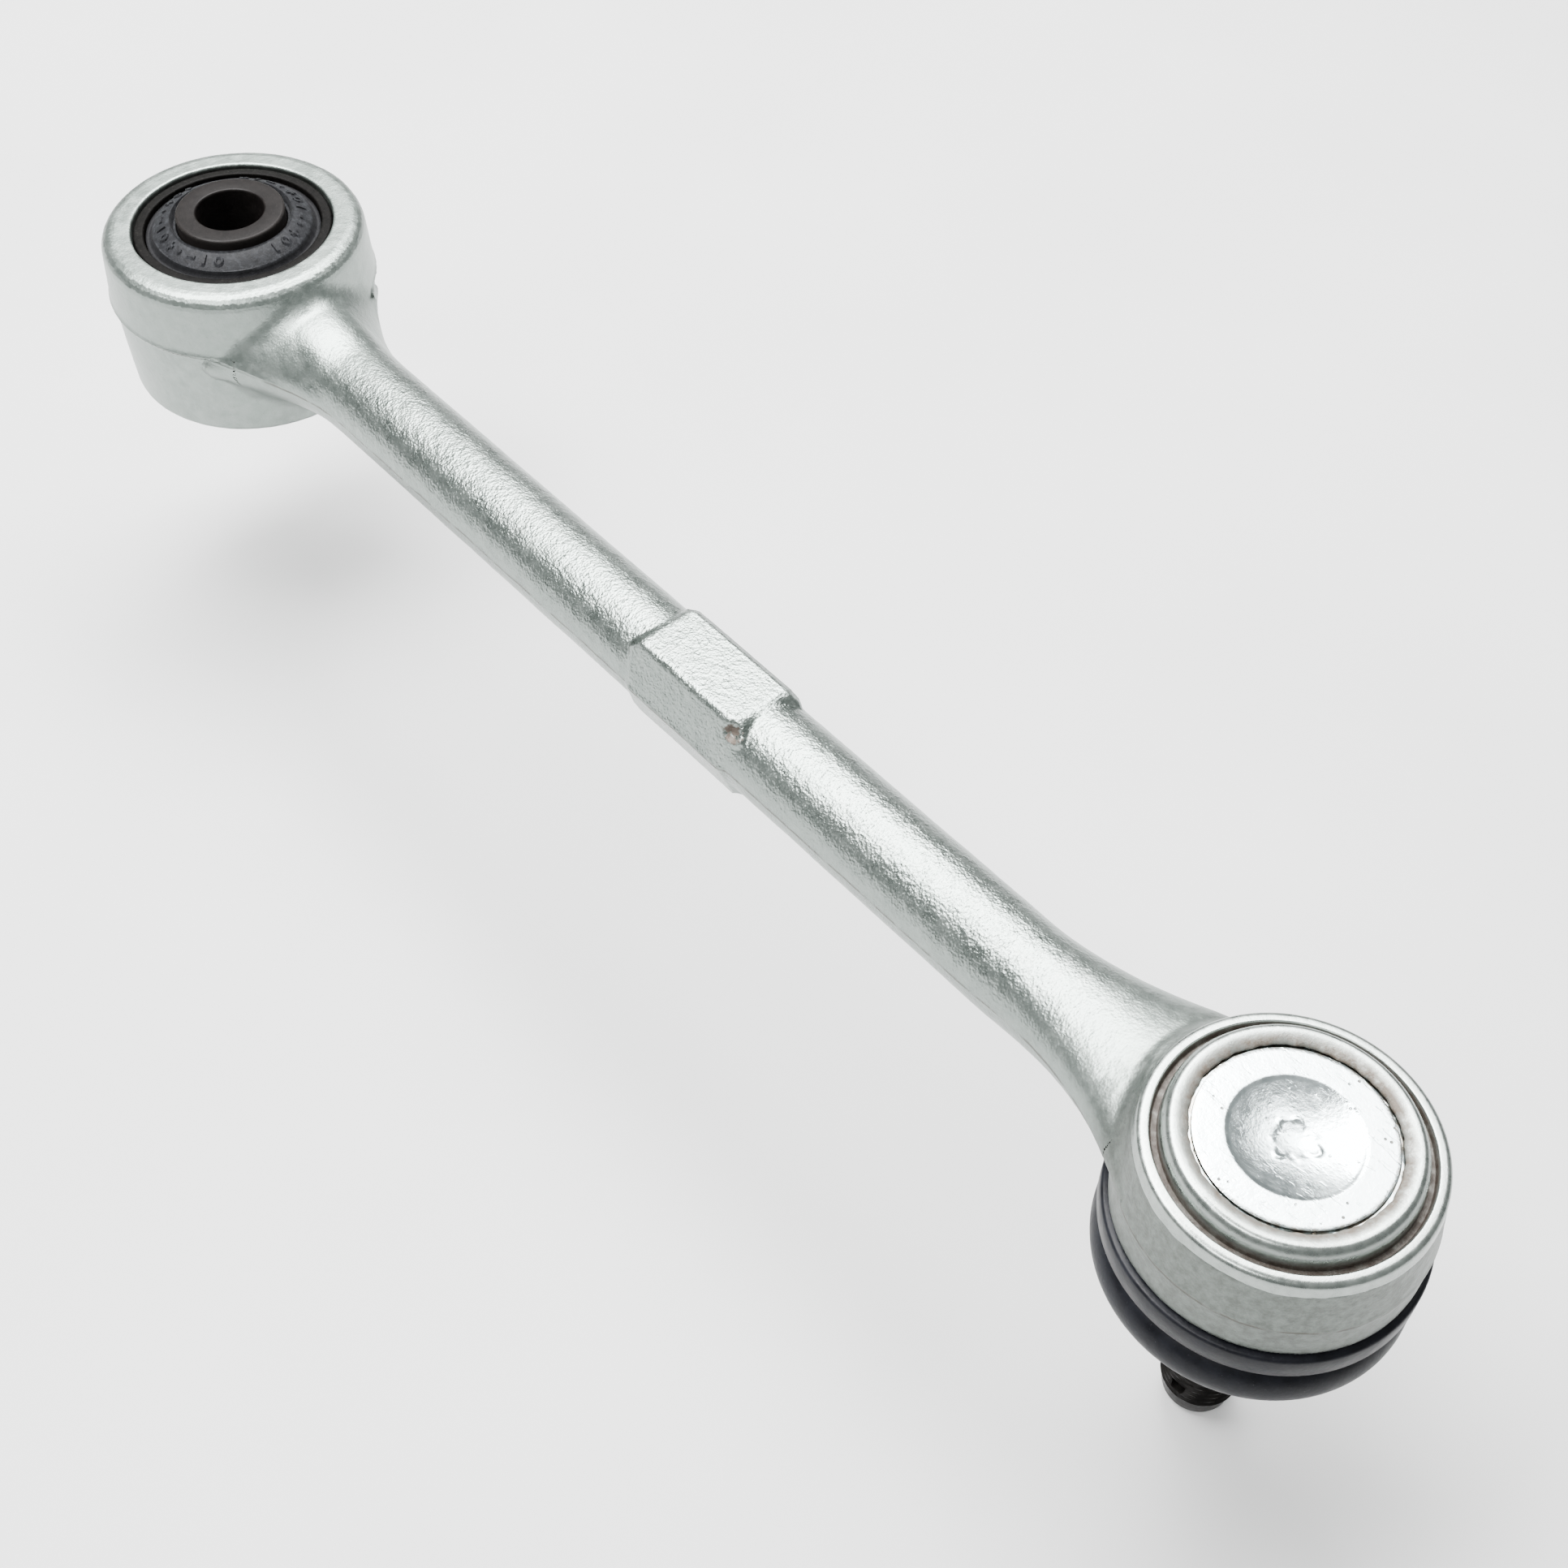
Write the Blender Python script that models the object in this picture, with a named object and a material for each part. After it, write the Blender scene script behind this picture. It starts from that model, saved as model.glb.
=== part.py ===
"""Forged control arm with a rubber bush at one end and a ball joint at the other.

Metres, +Z up. The origin is the centre of the bush bore, +X runs along the rod to the
ball joint, and +Z is the bolt axis. Pieces stack outwards from the bolt and from the
ball, so a changed size moves everything that fits to it.
"""

import math

import bmesh
import bpy
from mathutils import Matrix, Vector

MM = 0.001

# Driving sizes of the arm
CENTRE_DISTANCE = 290.0 * MM
GAP = 0.3 * MM
ROD_RADIUS = 9.3 * MM
ROD_RISE = 0.6 * MM

# Bush, from the bolt outwards
BOLT_BORE_RADIUS = 7.1 * MM
INNER_SLEEVE_WALL = 4.3 * MM
INNER_SLEEVE_STAND_OUT = 3.0 * MM
RUBBER_WALL = 6.5 * MM
OUTER_SLEEVE_WALL = 2.2 * MM
OUTER_SLEEVE_SET_BACK = 0.8 * MM
SLEEVE_CHAMFER = 0.5 * MM
RUBBER_STAND_OUT = 1.8 * MM
RUBBER_SET_BACK = 0.5 * MM
RUBBER_MOAT_WIDTH = 1.0 * MM
RUBBER_MOAT_DEPTH = 1.6 * MM
RUBBER_GROOVE_WIDTH = 1.5 * MM
RUBBER_GROOVE_DEPTH = 1.7 * MM

# Eye of the forging, round the bush
EYE_HEIGHT = 35.0 * MM
EYE_WALL = 7.7 * MM
EYE_TOP_DRAFT = 0.7 * MM
EYE_FOOT_DRAFT = 2.0 * MM
EYE_EDGE_ROUND = 2.2 * MM
NECK_PLAN_FILLET = 50.0 * MM
NECK_SIDE_FILLET = 16.0 * MM

# Pad forged on the middle of the rod
PAD_CENTRE = 158.0 * MM
PAD_LENGTH = 28.0 * MM
PAD_END_SLOPE = 1.8 * MM
PAD_PROUD = 0.4 * MM
PAD_TOP_WIDTH = 13.5 * MM
PAD_MID_WIDTH = 20.6 * MM

# Ball joint, from the ball outwards
BALL_RADIUS = 15.0 * MM
BALL_DROP = 3.0 * MM
RACE_WALL = 1.6 * MM
RACE_RIM_DEPTH = 8.5 * MM
COVER_THICKNESS = 2.0 * MM
COVER_FLANGE_STEP = 0.7 * MM
COVER_FLANGE_WIDTH = 2.1 * MM
DIMPLE_RADIUS = 10.8 * MM
DIMPLE_DEPTH = 1.4 * MM
HOUSING_WALL = 7.5 * MM
HOUSING_TOP_DRAFT = 1.6 * MM
HOUSING_SHELF_DEPTH = 9.0 * MM
HOUSING_EDGE_ROUND = 1.0 * MM
LIP_WALL = 2.5 * MM
LIP_RISE = 0.9 * MM
LIP_GROOVE_WIDTH = 0.9 * MM
LIP_GROOVE_DEPTH = 0.9 * MM
HOUSING_RIM_DROP = 1.8 * MM
FLARE_PLAN_FILLET = 80.0 * MM
FLARE_TOP_FILLET = 200.0 * MM
FLARE_TOP_RISE = 2.8 * MM
FLARE_FOOT_RUN = 30.0 * MM

# Boot seat turned on the foot of the housing
SEAT_HEIGHT = 9.0 * MM
SEAT_DEPTH = 4.2 * MM
SEAT_BEAD_HEIGHT = 1.5 * MM
SEAT_BEAD_STAND_OUT = 1.8 * MM

# Dust boot and its two rings
BOOT_WALL = 2.0 * MM
BOOT_COLLAR_HEIGHT = 7.3 * MM
BOOT_COLLAR_STAND_OUT = 1.0 * MM
BOOT_FOLD_RADIUS = 5.0 * MM
BOOT_HEEL_HEIGHT = 6.0 * MM
BOOT_HEEL_WALL = 3.3 * MM
BOOT_HEIGHT = 30.0 * MM
RING_WIDTH = 1.7 * MM
RING_THICKNESS = 1.0 * MM
RING_GROOVE_DEPTH = 1.5 * MM

# Stud, from the ball down
NECK_RADIUS = 7.0 * MM
NECK_LENGTH = 21.0 * MM
SHANK_RADIUS = 9.0 * MM
SHANK_LENGTH = 8.5 * MM
TAPER_LENGTH = 12.0 * MM
TAPER_SHARE = 0.05
THREAD_RADIUS = 6.9 * MM
THREAD_RELIEF_RADIUS = 6.0 * MM
THREAD_RELIEF_LENGTH = 1.8 * MM
THREAD_LENGTH = 17.5 * MM
NOSE_RADIUS = 6.1 * MM
NOSE_LENGTH = 3.8 * MM
NOSE_CHAMFER = 0.9 * MM
SPLIT_PIN_HOLE_RADIUS = 1.6 * MM
SPLIT_PIN_HOLE_SET_BACK = 7.8 * MM

# Radii of the bush, worked out from the bolt
INNER_SLEEVE_RADIUS = BOLT_BORE_RADIUS + INNER_SLEEVE_WALL
RUBBER_INNER_RADIUS = INNER_SLEEVE_RADIUS + GAP
RUBBER_OUTER_RADIUS = RUBBER_INNER_RADIUS + RUBBER_WALL
SLEEVE_INNER_RADIUS = RUBBER_OUTER_RADIUS + GAP
SLEEVE_OUTER_RADIUS = SLEEVE_INNER_RADIUS + OUTER_SLEEVE_WALL
BUSH_BORE_RADIUS = SLEEVE_OUTER_RADIUS + GAP
EYE_RADIUS = BUSH_BORE_RADIUS + EYE_WALL
EYE_TOP = EYE_HEIGHT / 2

# Heights and radii of the ball joint, worked out from the ball
BALL_Z = -BALL_DROP
RACE_INNER_RADIUS = BALL_RADIUS + GAP
RACE_OUTER_RADIUS = RACE_INNER_RADIUS + RACE_WALL
SOCKET_RADIUS = RACE_OUTER_RADIUS + GAP
COVER_BOTTOM = BALL_Z + SOCKET_RADIUS
COVER_TOP = COVER_BOTTOM + DIMPLE_DEPTH + COVER_THICKNESS
COVER_FLANGE_TOP = COVER_TOP - COVER_FLANGE_STEP
COVER_FLANGE_BOTTOM = COVER_TOP - COVER_THICKNESS
COVER_SEAT_RADIUS = SOCKET_RADIUS + 2 * GAP
COVER_RADIUS = COVER_SEAT_RADIUS - GAP
DISC_RADIUS = COVER_RADIUS - COVER_FLANGE_WIDTH
LIP_INNER_RADIUS = DISC_RADIUS + GAP
HOUSING_RADIUS = SOCKET_RADIUS + HOUSING_WALL
RIM_Z = COVER_TOP - HOUSING_RIM_DROP
SHELF_Z = BALL_Z - HOUSING_SHELF_DEPTH + SEAT_HEIGHT
HOUSING_FOOT = SHELF_Z - SEAT_HEIGHT
SEAT_RADIUS = HOUSING_RADIUS - SEAT_DEPTH
SEAT_BEAD_RADIUS = SEAT_RADIUS + SEAT_BEAD_STAND_OUT

LARGE = 48
MEDIUM = 36
SMALL = 28


def start_scene():
    for obj in list(bpy.data.objects):
        bpy.data.objects.remove(obj)


def material(name, colour, roughness, metallic):
    made = bpy.data.materials.new(name)
    made.use_nodes = True
    shader = made.node_tree.nodes["Principled BSDF"]
    shader.inputs["Base Color"].default_value = (*colour, 1.0)
    shader.inputs["Roughness"].default_value = roughness
    shader.inputs["Metallic"].default_value = metallic
    return made


def arc(centre_r, centre_z, radius, start, end, steps):
    """Points on an arc in the radius-height plane, angles in degrees from +r."""
    points = []
    for step in range(steps + 1):
        angle = math.radians(start + (end - start) * step / steps)
        points.append((centre_r + radius * math.cos(angle), centre_z + radius * math.sin(angle)))
    return points


def place(bm, name, look, at):
    bmesh.ops.recalc_face_normals(bm, faces=bm.faces)
    mesh = bpy.data.meshes.new(name)
    bm.to_mesh(mesh)
    bm.free()
    mesh.shade_smooth()
    mesh.set_sharp_from_angle(angle=math.radians(35))
    obj = bpy.data.objects.new(name, mesh)
    obj.location = at
    if look is not None:
        mesh.materials.append(look)
    bpy.context.scene.collection.objects.link(obj)
    return obj


def turned(name, outline, steps, look=None, at=(0.0, 0.0, 0.0)):
    """A closed outline of (radius, height) points, spun about the vertical axis."""
    bm = bmesh.new()
    verts = [bm.verts.new((radius, 0.0, height)) for radius, height in outline]
    edges = [bm.edges.new((verts[i - 1], verts[i])) for i in range(len(verts))]
    bmesh.ops.spin(
        bm,
        geom=verts + edges,
        cent=(0.0, 0.0, 0.0),
        axis=(0.0, 0.0, 1.0),
        dvec=(0.0, 0.0, 0.0),
        angle=2 * math.pi,
        steps=steps,
        use_merge=True,
        use_duplicate=False,
    )
    bmesh.ops.remove_doubles(bm, verts=bm.verts, dist=1e-7)
    bmesh.ops.dissolve_degenerate(bm, edges=bm.edges, dist=1e-7)
    loose = [edge for edge in bm.edges if not edge.link_faces]
    bmesh.ops.delete(bm, geom=loose, context="EDGES")
    return place(bm, name, look, at)


def lofted(name, rings, look=None):
    """A closed skin over rings of points that all have the same count."""
    bm = bmesh.new()
    loops = [[bm.verts.new(point) for point in ring] for ring in rings]
    count = len(loops[0])
    for first, second in zip(loops, loops[1:]):
        for i in range(count):
            bm.faces.new((first[i - 1], first[i], second[i], second[i - 1]))
    bm.faces.new(loops[0])
    bm.faces.new(loops[-1])
    return place(bm, name, look, (0.0, 0.0, 0.0))


def combine(target, other, operation):
    other.hide_render = True
    other.display_type = "WIRE"
    modifier = target.modifiers.new(f"{operation.lower()}_{other.name}", "BOOLEAN")
    modifier.operation = operation
    modifier.object = other
    modifier.solver = "EXACT"


def fillet_rise(distance, run, radius):
    """How far a fillet of this radius has risen, with `run` left of its tangent point."""
    inside = min(max(run - distance, 0.0), radius)
    return radius - math.sqrt(radius * radius - inside * inside)


def plan_run(round_radius, fillet):
    """Distance from a round boss's axis to where its plan fillet meets the rod."""
    reach = (round_radius + fillet) ** 2 - (ROD_RADIUS + fillet) ** 2
    return math.sqrt(reach)


def plan_tangent(round_radius, fillet):
    """Distance from the boss's axis to where the same fillet meets the boss."""
    return plan_run(round_radius, fillet) * round_radius / (round_radius + fillet)


def plan_half_width(distance, round_radius, fillet):
    return ROD_RADIUS + fillet_rise(distance, plan_run(round_radius, fillet), fillet)


def eased(share):
    share = min(max(share, 0.0), 1.0)
    return share * share * (3.0 - 2.0 * share)


def rod_section(x):
    """Half width, top and bottom of the rod at x, with its flares at both ends."""
    from_eye = x
    from_ball = CENTRE_DISTANCE - x
    eye_side = fillet_rise(from_eye, EYE_RADIUS + NECK_SIDE_FILLET, NECK_SIDE_FILLET)
    eye_rise = min(eye_side, EYE_TOP - EYE_EDGE_ROUND - ROD_RADIUS - ROD_RISE)
    top_run = HOUSING_RADIUS + math.sqrt(2 * FLARE_TOP_FILLET * FLARE_TOP_RISE)
    top_rise = min(fillet_rise(from_ball, top_run, FLARE_TOP_FILLET), FLARE_TOP_RISE)
    lift = max(SHELF_Z + GAP + ROD_RADIUS - ROD_RISE, 0.0)
    foot_end = HOUSING_RADIUS + BOOT_COLLAR_STAND_OUT + GAP
    foot_rise = lift * eased((foot_end + FLARE_FOOT_RUN - from_ball) / FLARE_FOOT_RUN)
    near_eye = plan_half_width(from_eye, EYE_RADIUS, NECK_PLAN_FILLET)
    near_ball = plan_half_width(from_ball, HOUSING_RADIUS, FLARE_PLAN_FILLET)
    half_width = max(near_eye, near_ball)
    top = ROD_RISE + ROD_RADIUS + max(eye_rise, top_rise)
    bottom = ROD_RISE - ROD_RADIUS - eye_rise + foot_rise
    return half_width, top, bottom


def rod_stations():
    """Places along the rod, close together where it flares and far apart where it is plain."""
    neck_end = max(EYE_RADIUS + NECK_SIDE_FILLET, plan_run(EYE_RADIUS, NECK_PLAN_FILLET))
    flare_start = CENTRE_DISTANCE - HOUSING_RADIUS - FLARE_FOOT_RUN - 2 * ROD_RADIUS
    neck_start = plan_tangent(EYE_RADIUS, NECK_PLAN_FILLET)
    flare_end = CENTRE_DISTANCE - plan_tangent(HOUSING_RADIUS, FLARE_PLAN_FILLET)
    steps = 9
    stations = [neck_start + (neck_end - neck_start) * i / steps for i in range(steps + 1)]
    stations += [flare_start + (flare_end - flare_start) * i / steps for i in range(steps + 1)]
    return stations


def rod_rings(sides):
    rings = []
    for x in rod_stations():
        half_width, top, bottom = rod_section(x)
        middle = (top + bottom) / 2
        half_height = (top - bottom) / 2
        ring = []
        for i in range(sides):
            angle = 2 * math.pi * i / sides
            ring.append((x, half_width * math.cos(angle), middle + half_height * math.sin(angle)))
        rings.append(ring)
    return rings


def pad_rings():
    """A block with drafted sides and sloped ends, forged round the middle of the rod."""
    half_top = PAD_TOP_WIDTH / 2
    half_mid = PAD_MID_WIDTH / 2
    top = ROD_RADIUS + PAD_PROUD
    shape = ((half_mid, 0.0), (half_top, top), (-half_top, top))
    shape += ((-half_mid, 0.0), (-half_top, -top), (half_top, -top))
    shrink = (ROD_RADIUS - PAD_END_SLOPE) / top
    half = PAD_LENGTH / 2
    ends = ((-half, shrink), (PAD_END_SLOPE - half, 1.0), (half - PAD_END_SLOPE, 1.0), (half, shrink))
    rings = []
    for x, share in ends:
        rings.append([(PAD_CENTRE + x, y * share, ROD_RISE + z * share) for y, z in shape])
    return rings


def eye_outline():
    top_radius = EYE_RADIUS - EYE_TOP_DRAFT
    foot_radius = EYE_RADIUS - EYE_FOOT_DRAFT
    edge = EYE_EDGE_ROUND
    outline = [(0.0, -EYE_TOP), (foot_radius - edge, -EYE_TOP)]
    outline += arc(foot_radius - edge, edge - EYE_TOP, edge, -60, 0, 2)
    outline += [(EYE_RADIUS, 0.0)]
    outline += arc(top_radius - edge, EYE_TOP - edge, edge, 0, 90, 3)
    outline += [(0.0, EYE_TOP)]
    return outline


def housing_outline():
    """Outside of the ball housing, closed to its axis; the socket is cut from it later."""
    rim_radius = HOUSING_RADIUS - HOUSING_TOP_DRAFT
    edge = HOUSING_EDGE_ROUND
    lip_radius = COVER_SEAT_RADIUS + LIP_WALL
    groove_z = RIM_Z - LIP_GROOVE_DEPTH
    crest = COVER_TOP + LIP_RISE
    outline = [(0.0, HOUSING_FOOT), (SEAT_BEAD_RADIUS, HOUSING_FOOT)]
    outline += [(SEAT_BEAD_RADIUS, HOUSING_FOOT + SEAT_BEAD_HEIGHT)]
    outline += [(SEAT_RADIUS, HOUSING_FOOT + SEAT_BEAD_HEIGHT), (SEAT_RADIUS, SHELF_Z)]
    outline += [(HOUSING_RADIUS, SHELF_Z)]
    outline += arc(rim_radius - edge, RIM_Z - edge, edge, 0, 90, 2)
    outline += [(lip_radius + LIP_GROOVE_WIDTH, RIM_Z), (lip_radius + LIP_GROOVE_WIDTH / 2, groove_z)]
    outline += [(lip_radius, groove_z)]
    middle = (lip_radius + LIP_INNER_RADIUS) / 2
    half = (lip_radius - LIP_INNER_RADIUS) / 2
    rise = crest - groove_z
    for step in range(1, 5):
        angle = math.pi / 2 * step / 4
        outline.append((middle + half * math.cos(angle), groove_z + rise * math.sin(angle)))
    inner_edge = max(COVER_FLANGE_TOP + GAP, crest - rise / 2)
    outline += [(LIP_INNER_RADIUS + half / 4, (crest + inner_edge) / 2), (LIP_INNER_RADIUS, inner_edge)]
    outline += [(0.0, inner_edge)]
    return outline


def socket_outline():
    """The hollow for the races and the cover, open at the lip and at the foot."""
    crest = COVER_TOP + LIP_RISE
    mouth_angle = -math.degrees(math.asin(HOUSING_SHELF_DEPTH / SOCKET_RADIUS))
    mouth_radius = SOCKET_RADIUS * math.cos(math.radians(mouth_angle))
    outline = [(0.0, HOUSING_FOOT - BOOT_WALL), (mouth_radius, HOUSING_FOOT - BOOT_WALL)]
    outline += arc(0.0, BALL_Z, SOCKET_RADIUS, mouth_angle, 0, 5)
    outline += [(SOCKET_RADIUS, COVER_FLANGE_BOTTOM - GAP)]
    outline += [(COVER_SEAT_RADIUS, COVER_FLANGE_BOTTOM - GAP)]
    outline += [(COVER_SEAT_RADIUS, COVER_FLANGE_TOP + GAP), (LIP_INNER_RADIUS, COVER_FLANGE_TOP + GAP)]
    outline += [(LIP_INNER_RADIUS, crest + BOOT_WALL), (0.0, crest + BOOT_WALL)]
    return outline


def make_arm(steel):
    ball_axis = (CENTRE_DISTANCE, 0.0, 0.0)
    arm = lofted("arm_forging", rod_rings(24), steel)
    combine(arm, turned("eye_body", eye_outline(), LARGE), "UNION")
    combine(arm, turned("housing_body", housing_outline(), LARGE, at=ball_axis), "UNION")
    combine(arm, lofted("pad_body", pad_rings()), "UNION")
    bore = [(0.0, -EYE_HEIGHT), (BUSH_BORE_RADIUS, -EYE_HEIGHT)]
    bore += [(BUSH_BORE_RADIUS, EYE_HEIGHT), (0.0, EYE_HEIGHT)]
    combine(arm, turned("bush_bore", bore, LARGE), "DIFFERENCE")
    combine(arm, turned("ball_socket", socket_outline(), LARGE, at=ball_axis), "DIFFERENCE")


def sleeve_outline(inner, outer, half_length):
    edge = SLEEVE_CHAMFER
    outline = [(inner, edge - half_length), (inner + edge, -half_length)]
    outline += [(outer - edge, -half_length), (outer, edge - half_length)]
    outline += [(outer, half_length - edge), (outer - edge, half_length)]
    outline += [(inner + edge, half_length), (inner, half_length - edge)]
    return outline


def rubber_face():
    """Upper end of the rubber from its rim inwards: groove, rising land, moat."""
    land_start = RUBBER_INNER_RADIUS + RUBBER_MOAT_WIDTH
    land_end = RUBBER_OUTER_RADIUS - RUBBER_GROOVE_WIDTH
    land_top = EYE_TOP + RUBBER_STAND_OUT
    land_foot = EYE_TOP - RUBBER_SET_BACK
    groove = land_foot - RUBBER_GROOVE_DEPTH
    moat = land_top - RUBBER_MOAT_DEPTH
    outline = [(RUBBER_OUTER_RADIUS, groove), (land_end + RUBBER_GROOVE_WIDTH / 3, groove)]
    outline += [(land_end, land_foot), (land_start, land_top)]
    outline += [(land_start - RUBBER_MOAT_WIDTH / 3, moat), (RUBBER_INNER_RADIUS, moat)]
    return outline


def make_bush(bright_steel, dark_steel, rubber):
    inner_half = EYE_TOP + INNER_SLEEVE_STAND_OUT
    outer_half = EYE_TOP - OUTER_SLEEVE_SET_BACK
    inner = sleeve_outline(BOLT_BORE_RADIUS, INNER_SLEEVE_RADIUS, inner_half)
    outer = sleeve_outline(SLEEVE_INNER_RADIUS, SLEEVE_OUTER_RADIUS, outer_half)
    upper = rubber_face()
    lower = [(radius, -height) for radius, height in reversed(upper)]
    turned("bush_inner_sleeve", inner, MEDIUM, dark_steel)
    turned("bush_outer_sleeve", outer, LARGE, bright_steel)
    turned("bush_rubber", lower + upper, MEDIUM, rubber)


def race_outline(start, end):
    """A shell between the ball and the socket, over angles in degrees from the equator."""
    steps = 5
    outer = arc(0.0, 0.0, RACE_OUTER_RADIUS, start, end, steps)
    inner = arc(0.0, 0.0, RACE_INNER_RADIUS, end, start, steps)
    return outer + inner


def make_races(plastic, ball_centre):
    rim = -math.degrees(math.asin(RACE_RIM_DEPTH / RACE_OUTER_RADIUS))
    split = math.degrees(GAP / RACE_INNER_RADIUS) / 2
    turned("race_lower", race_outline(rim, -split), SMALL, plastic, ball_centre)
    cap = arc(0.0, 0.0, RACE_OUTER_RADIUS, split, 90, 6)
    cap += arc(0.0, 0.0, RACE_INNER_RADIUS, 90, split, 6)
    turned("race_upper", cap, SMALL, plastic, ball_centre)


def make_cover(steel, ball_axis):
    dish_edge = DIMPLE_RADIUS
    dish_half = DIMPLE_RADIUS / 2
    outline = [(0.0, COVER_BOTTOM), (dish_half, COVER_BOTTOM)]
    outline += [(dish_edge, COVER_FLANGE_BOTTOM), (COVER_RADIUS, COVER_FLANGE_BOTTOM)]
    outline += [(COVER_RADIUS, COVER_FLANGE_TOP), (DISC_RADIUS, COVER_FLANGE_TOP)]
    outline += [(DISC_RADIUS, COVER_TOP), (dish_edge, COVER_TOP)]
    outline += [(dish_half, COVER_TOP - DIMPLE_DEPTH * 0.75), (0.0, COVER_TOP - DIMPLE_DEPTH)]
    turned("cover_plate", outline, MEDIUM, steel, ball_axis)


def stud_outline():
    """Ball, neck, shank, taper, thread relief, thread and nose, from the ball's centre down."""
    join = -math.degrees(math.acos(NECK_RADIUS / BALL_RADIUS))
    outline = arc(0.0, 0.0, BALL_RADIUS, 90, join, 9)
    neck_end = -NECK_LENGTH
    shank_end = neck_end - SHANK_LENGTH
    taper_end = shank_end - TAPER_LENGTH
    relief_end = taper_end - THREAD_RELIEF_LENGTH
    thread_end = relief_end - THREAD_LENGTH
    nose_end = thread_end - NOSE_LENGTH
    taper_radius = SHANK_RADIUS - TAPER_SHARE * TAPER_LENGTH
    slope = SHANK_RADIUS - NECK_RADIUS
    outline += [(NECK_RADIUS, neck_end), (SHANK_RADIUS, neck_end - slope), (SHANK_RADIUS, shank_end)]
    outline += [(taper_radius, taper_end), (THREAD_RELIEF_RADIUS, taper_end)]
    outline += [(THREAD_RELIEF_RADIUS, relief_end), (THREAD_RADIUS, relief_end - GAP)]
    outline += [(THREAD_RADIUS, thread_end), (NOSE_RADIUS, thread_end)]
    outline += [(NOSE_RADIUS, nose_end + NOSE_CHAMFER), (NOSE_RADIUS - NOSE_CHAMFER, nose_end)]
    outline += [(0.0, nose_end)]
    return outline, nose_end


def make_stud(steel, ball_centre):
    outline, nose_end = stud_outline()
    stud = turned("ball_stud", outline, MEDIUM, steel, ball_centre)
    bm = bmesh.new()
    bmesh.ops.create_cone(
        bm,
        cap_ends=True,
        segments=12,
        radius1=SPLIT_PIN_HOLE_RADIUS,
        radius2=SPLIT_PIN_HOLE_RADIUS,
        depth=4 * THREAD_RADIUS,
        matrix=Matrix.Rotation(math.pi / 2, 4, "X"),
    )
    hole_z = nose_end + SPLIT_PIN_HOLE_SET_BACK
    hole = place(bm, "split_pin_hole", None, Vector(ball_centre) + Vector((0.0, 0.0, hole_z)))
    combine(stud, hole, "DIFFERENCE")


def boot_levels():
    """Heights of the boot: collar top and foot, fold centre, heel top and foot."""
    collar_top = SHELF_Z - GAP
    collar_foot = collar_top - BOOT_COLLAR_HEIGHT
    fold_centre = collar_foot - BOOT_FOLD_RADIUS
    heel_foot = collar_top - BOOT_HEIGHT
    return collar_top, collar_foot, fold_centre, heel_foot + BOOT_HEEL_HEIGHT, heel_foot


def boot_outline():
    """Collar on the housing, one outward fold, and a heel on the stud; open at both ends."""
    collar_top, collar_foot, fold_z, heel_top, heel_foot = boot_levels()
    collar = HOUSING_RADIUS + BOOT_COLLAR_STAND_OUT
    ring_foot = collar_foot
    ring_top = ring_foot + RING_WIDTH + 2 * GAP
    ring_radius = collar - RING_GROOVE_DEPTH - RING_THICKNESS
    fold_r = collar - BOOT_FOLD_RADIUS
    heel_inner = SHANK_RADIUS + GAP
    heel_outer = heel_inner + BOOT_HEEL_WALL
    heel_groove = heel_outer - RING_THICKNESS / 2
    heel_middle = (heel_top + heel_foot) / 2
    heel_half = RING_WIDTH / 2 + GAP
    seat = SEAT_RADIUS + GAP
    bead = SEAT_BEAD_RADIUS + GAP
    bead_top = HOUSING_FOOT + SEAT_BEAD_HEIGHT + GAP
    bead_foot = HOUSING_FOOT - GAP
    outline = [(seat, collar_top), (collar, collar_top), (collar, ring_top)]
    outline += [(ring_radius, ring_top), (ring_radius, ring_foot), (bead + BOOT_WALL / 2, ring_foot)]
    outline += arc(fold_r, fold_z, BOOT_FOLD_RADIUS, 60, -75, 6)
    outline += [(heel_outer, heel_top), (heel_outer, heel_middle + heel_half)]
    outline += [(heel_groove, heel_middle + heel_half), (heel_groove, heel_middle - heel_half)]
    outline += [(heel_outer, heel_middle - heel_half), (heel_outer, heel_foot)]
    outline += [(heel_inner, heel_foot), (heel_inner, heel_top)]
    outline += arc(fold_r, fold_z, BOOT_FOLD_RADIUS - BOOT_WALL, -75, 30, 4)
    outline += [(bead, bead_foot), (bead, bead_top), (seat, bead_top)]
    return outline


def ring_outline(inner, middle):
    half = RING_WIDTH / 2
    outer = inner + RING_THICKNESS
    return [(inner, middle - half), (outer, middle - half), (outer, middle + half), (inner, middle + half)]


def make_boot(rubber, steel, ball_axis):
    _, collar_foot, _, heel_top, heel_foot = boot_levels()
    collar = HOUSING_RADIUS + BOOT_COLLAR_STAND_OUT
    housing_ring = collar - RING_GROOVE_DEPTH - RING_THICKNESS + GAP
    housing_ring_z = collar_foot + GAP + RING_WIDTH / 2
    stud_ring = SHANK_RADIUS + GAP + BOOT_HEEL_WALL - RING_THICKNESS / 2 + GAP
    stud_ring_z = (heel_top + heel_foot) / 2
    turned("dust_boot", boot_outline(), MEDIUM, rubber, ball_axis)
    turned("boot_housing_ring", ring_outline(housing_ring, housing_ring_z), MEDIUM, steel, ball_axis)
    turned("boot_stud_ring", ring_outline(stud_ring, stud_ring_z), SMALL, steel, ball_axis)


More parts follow.
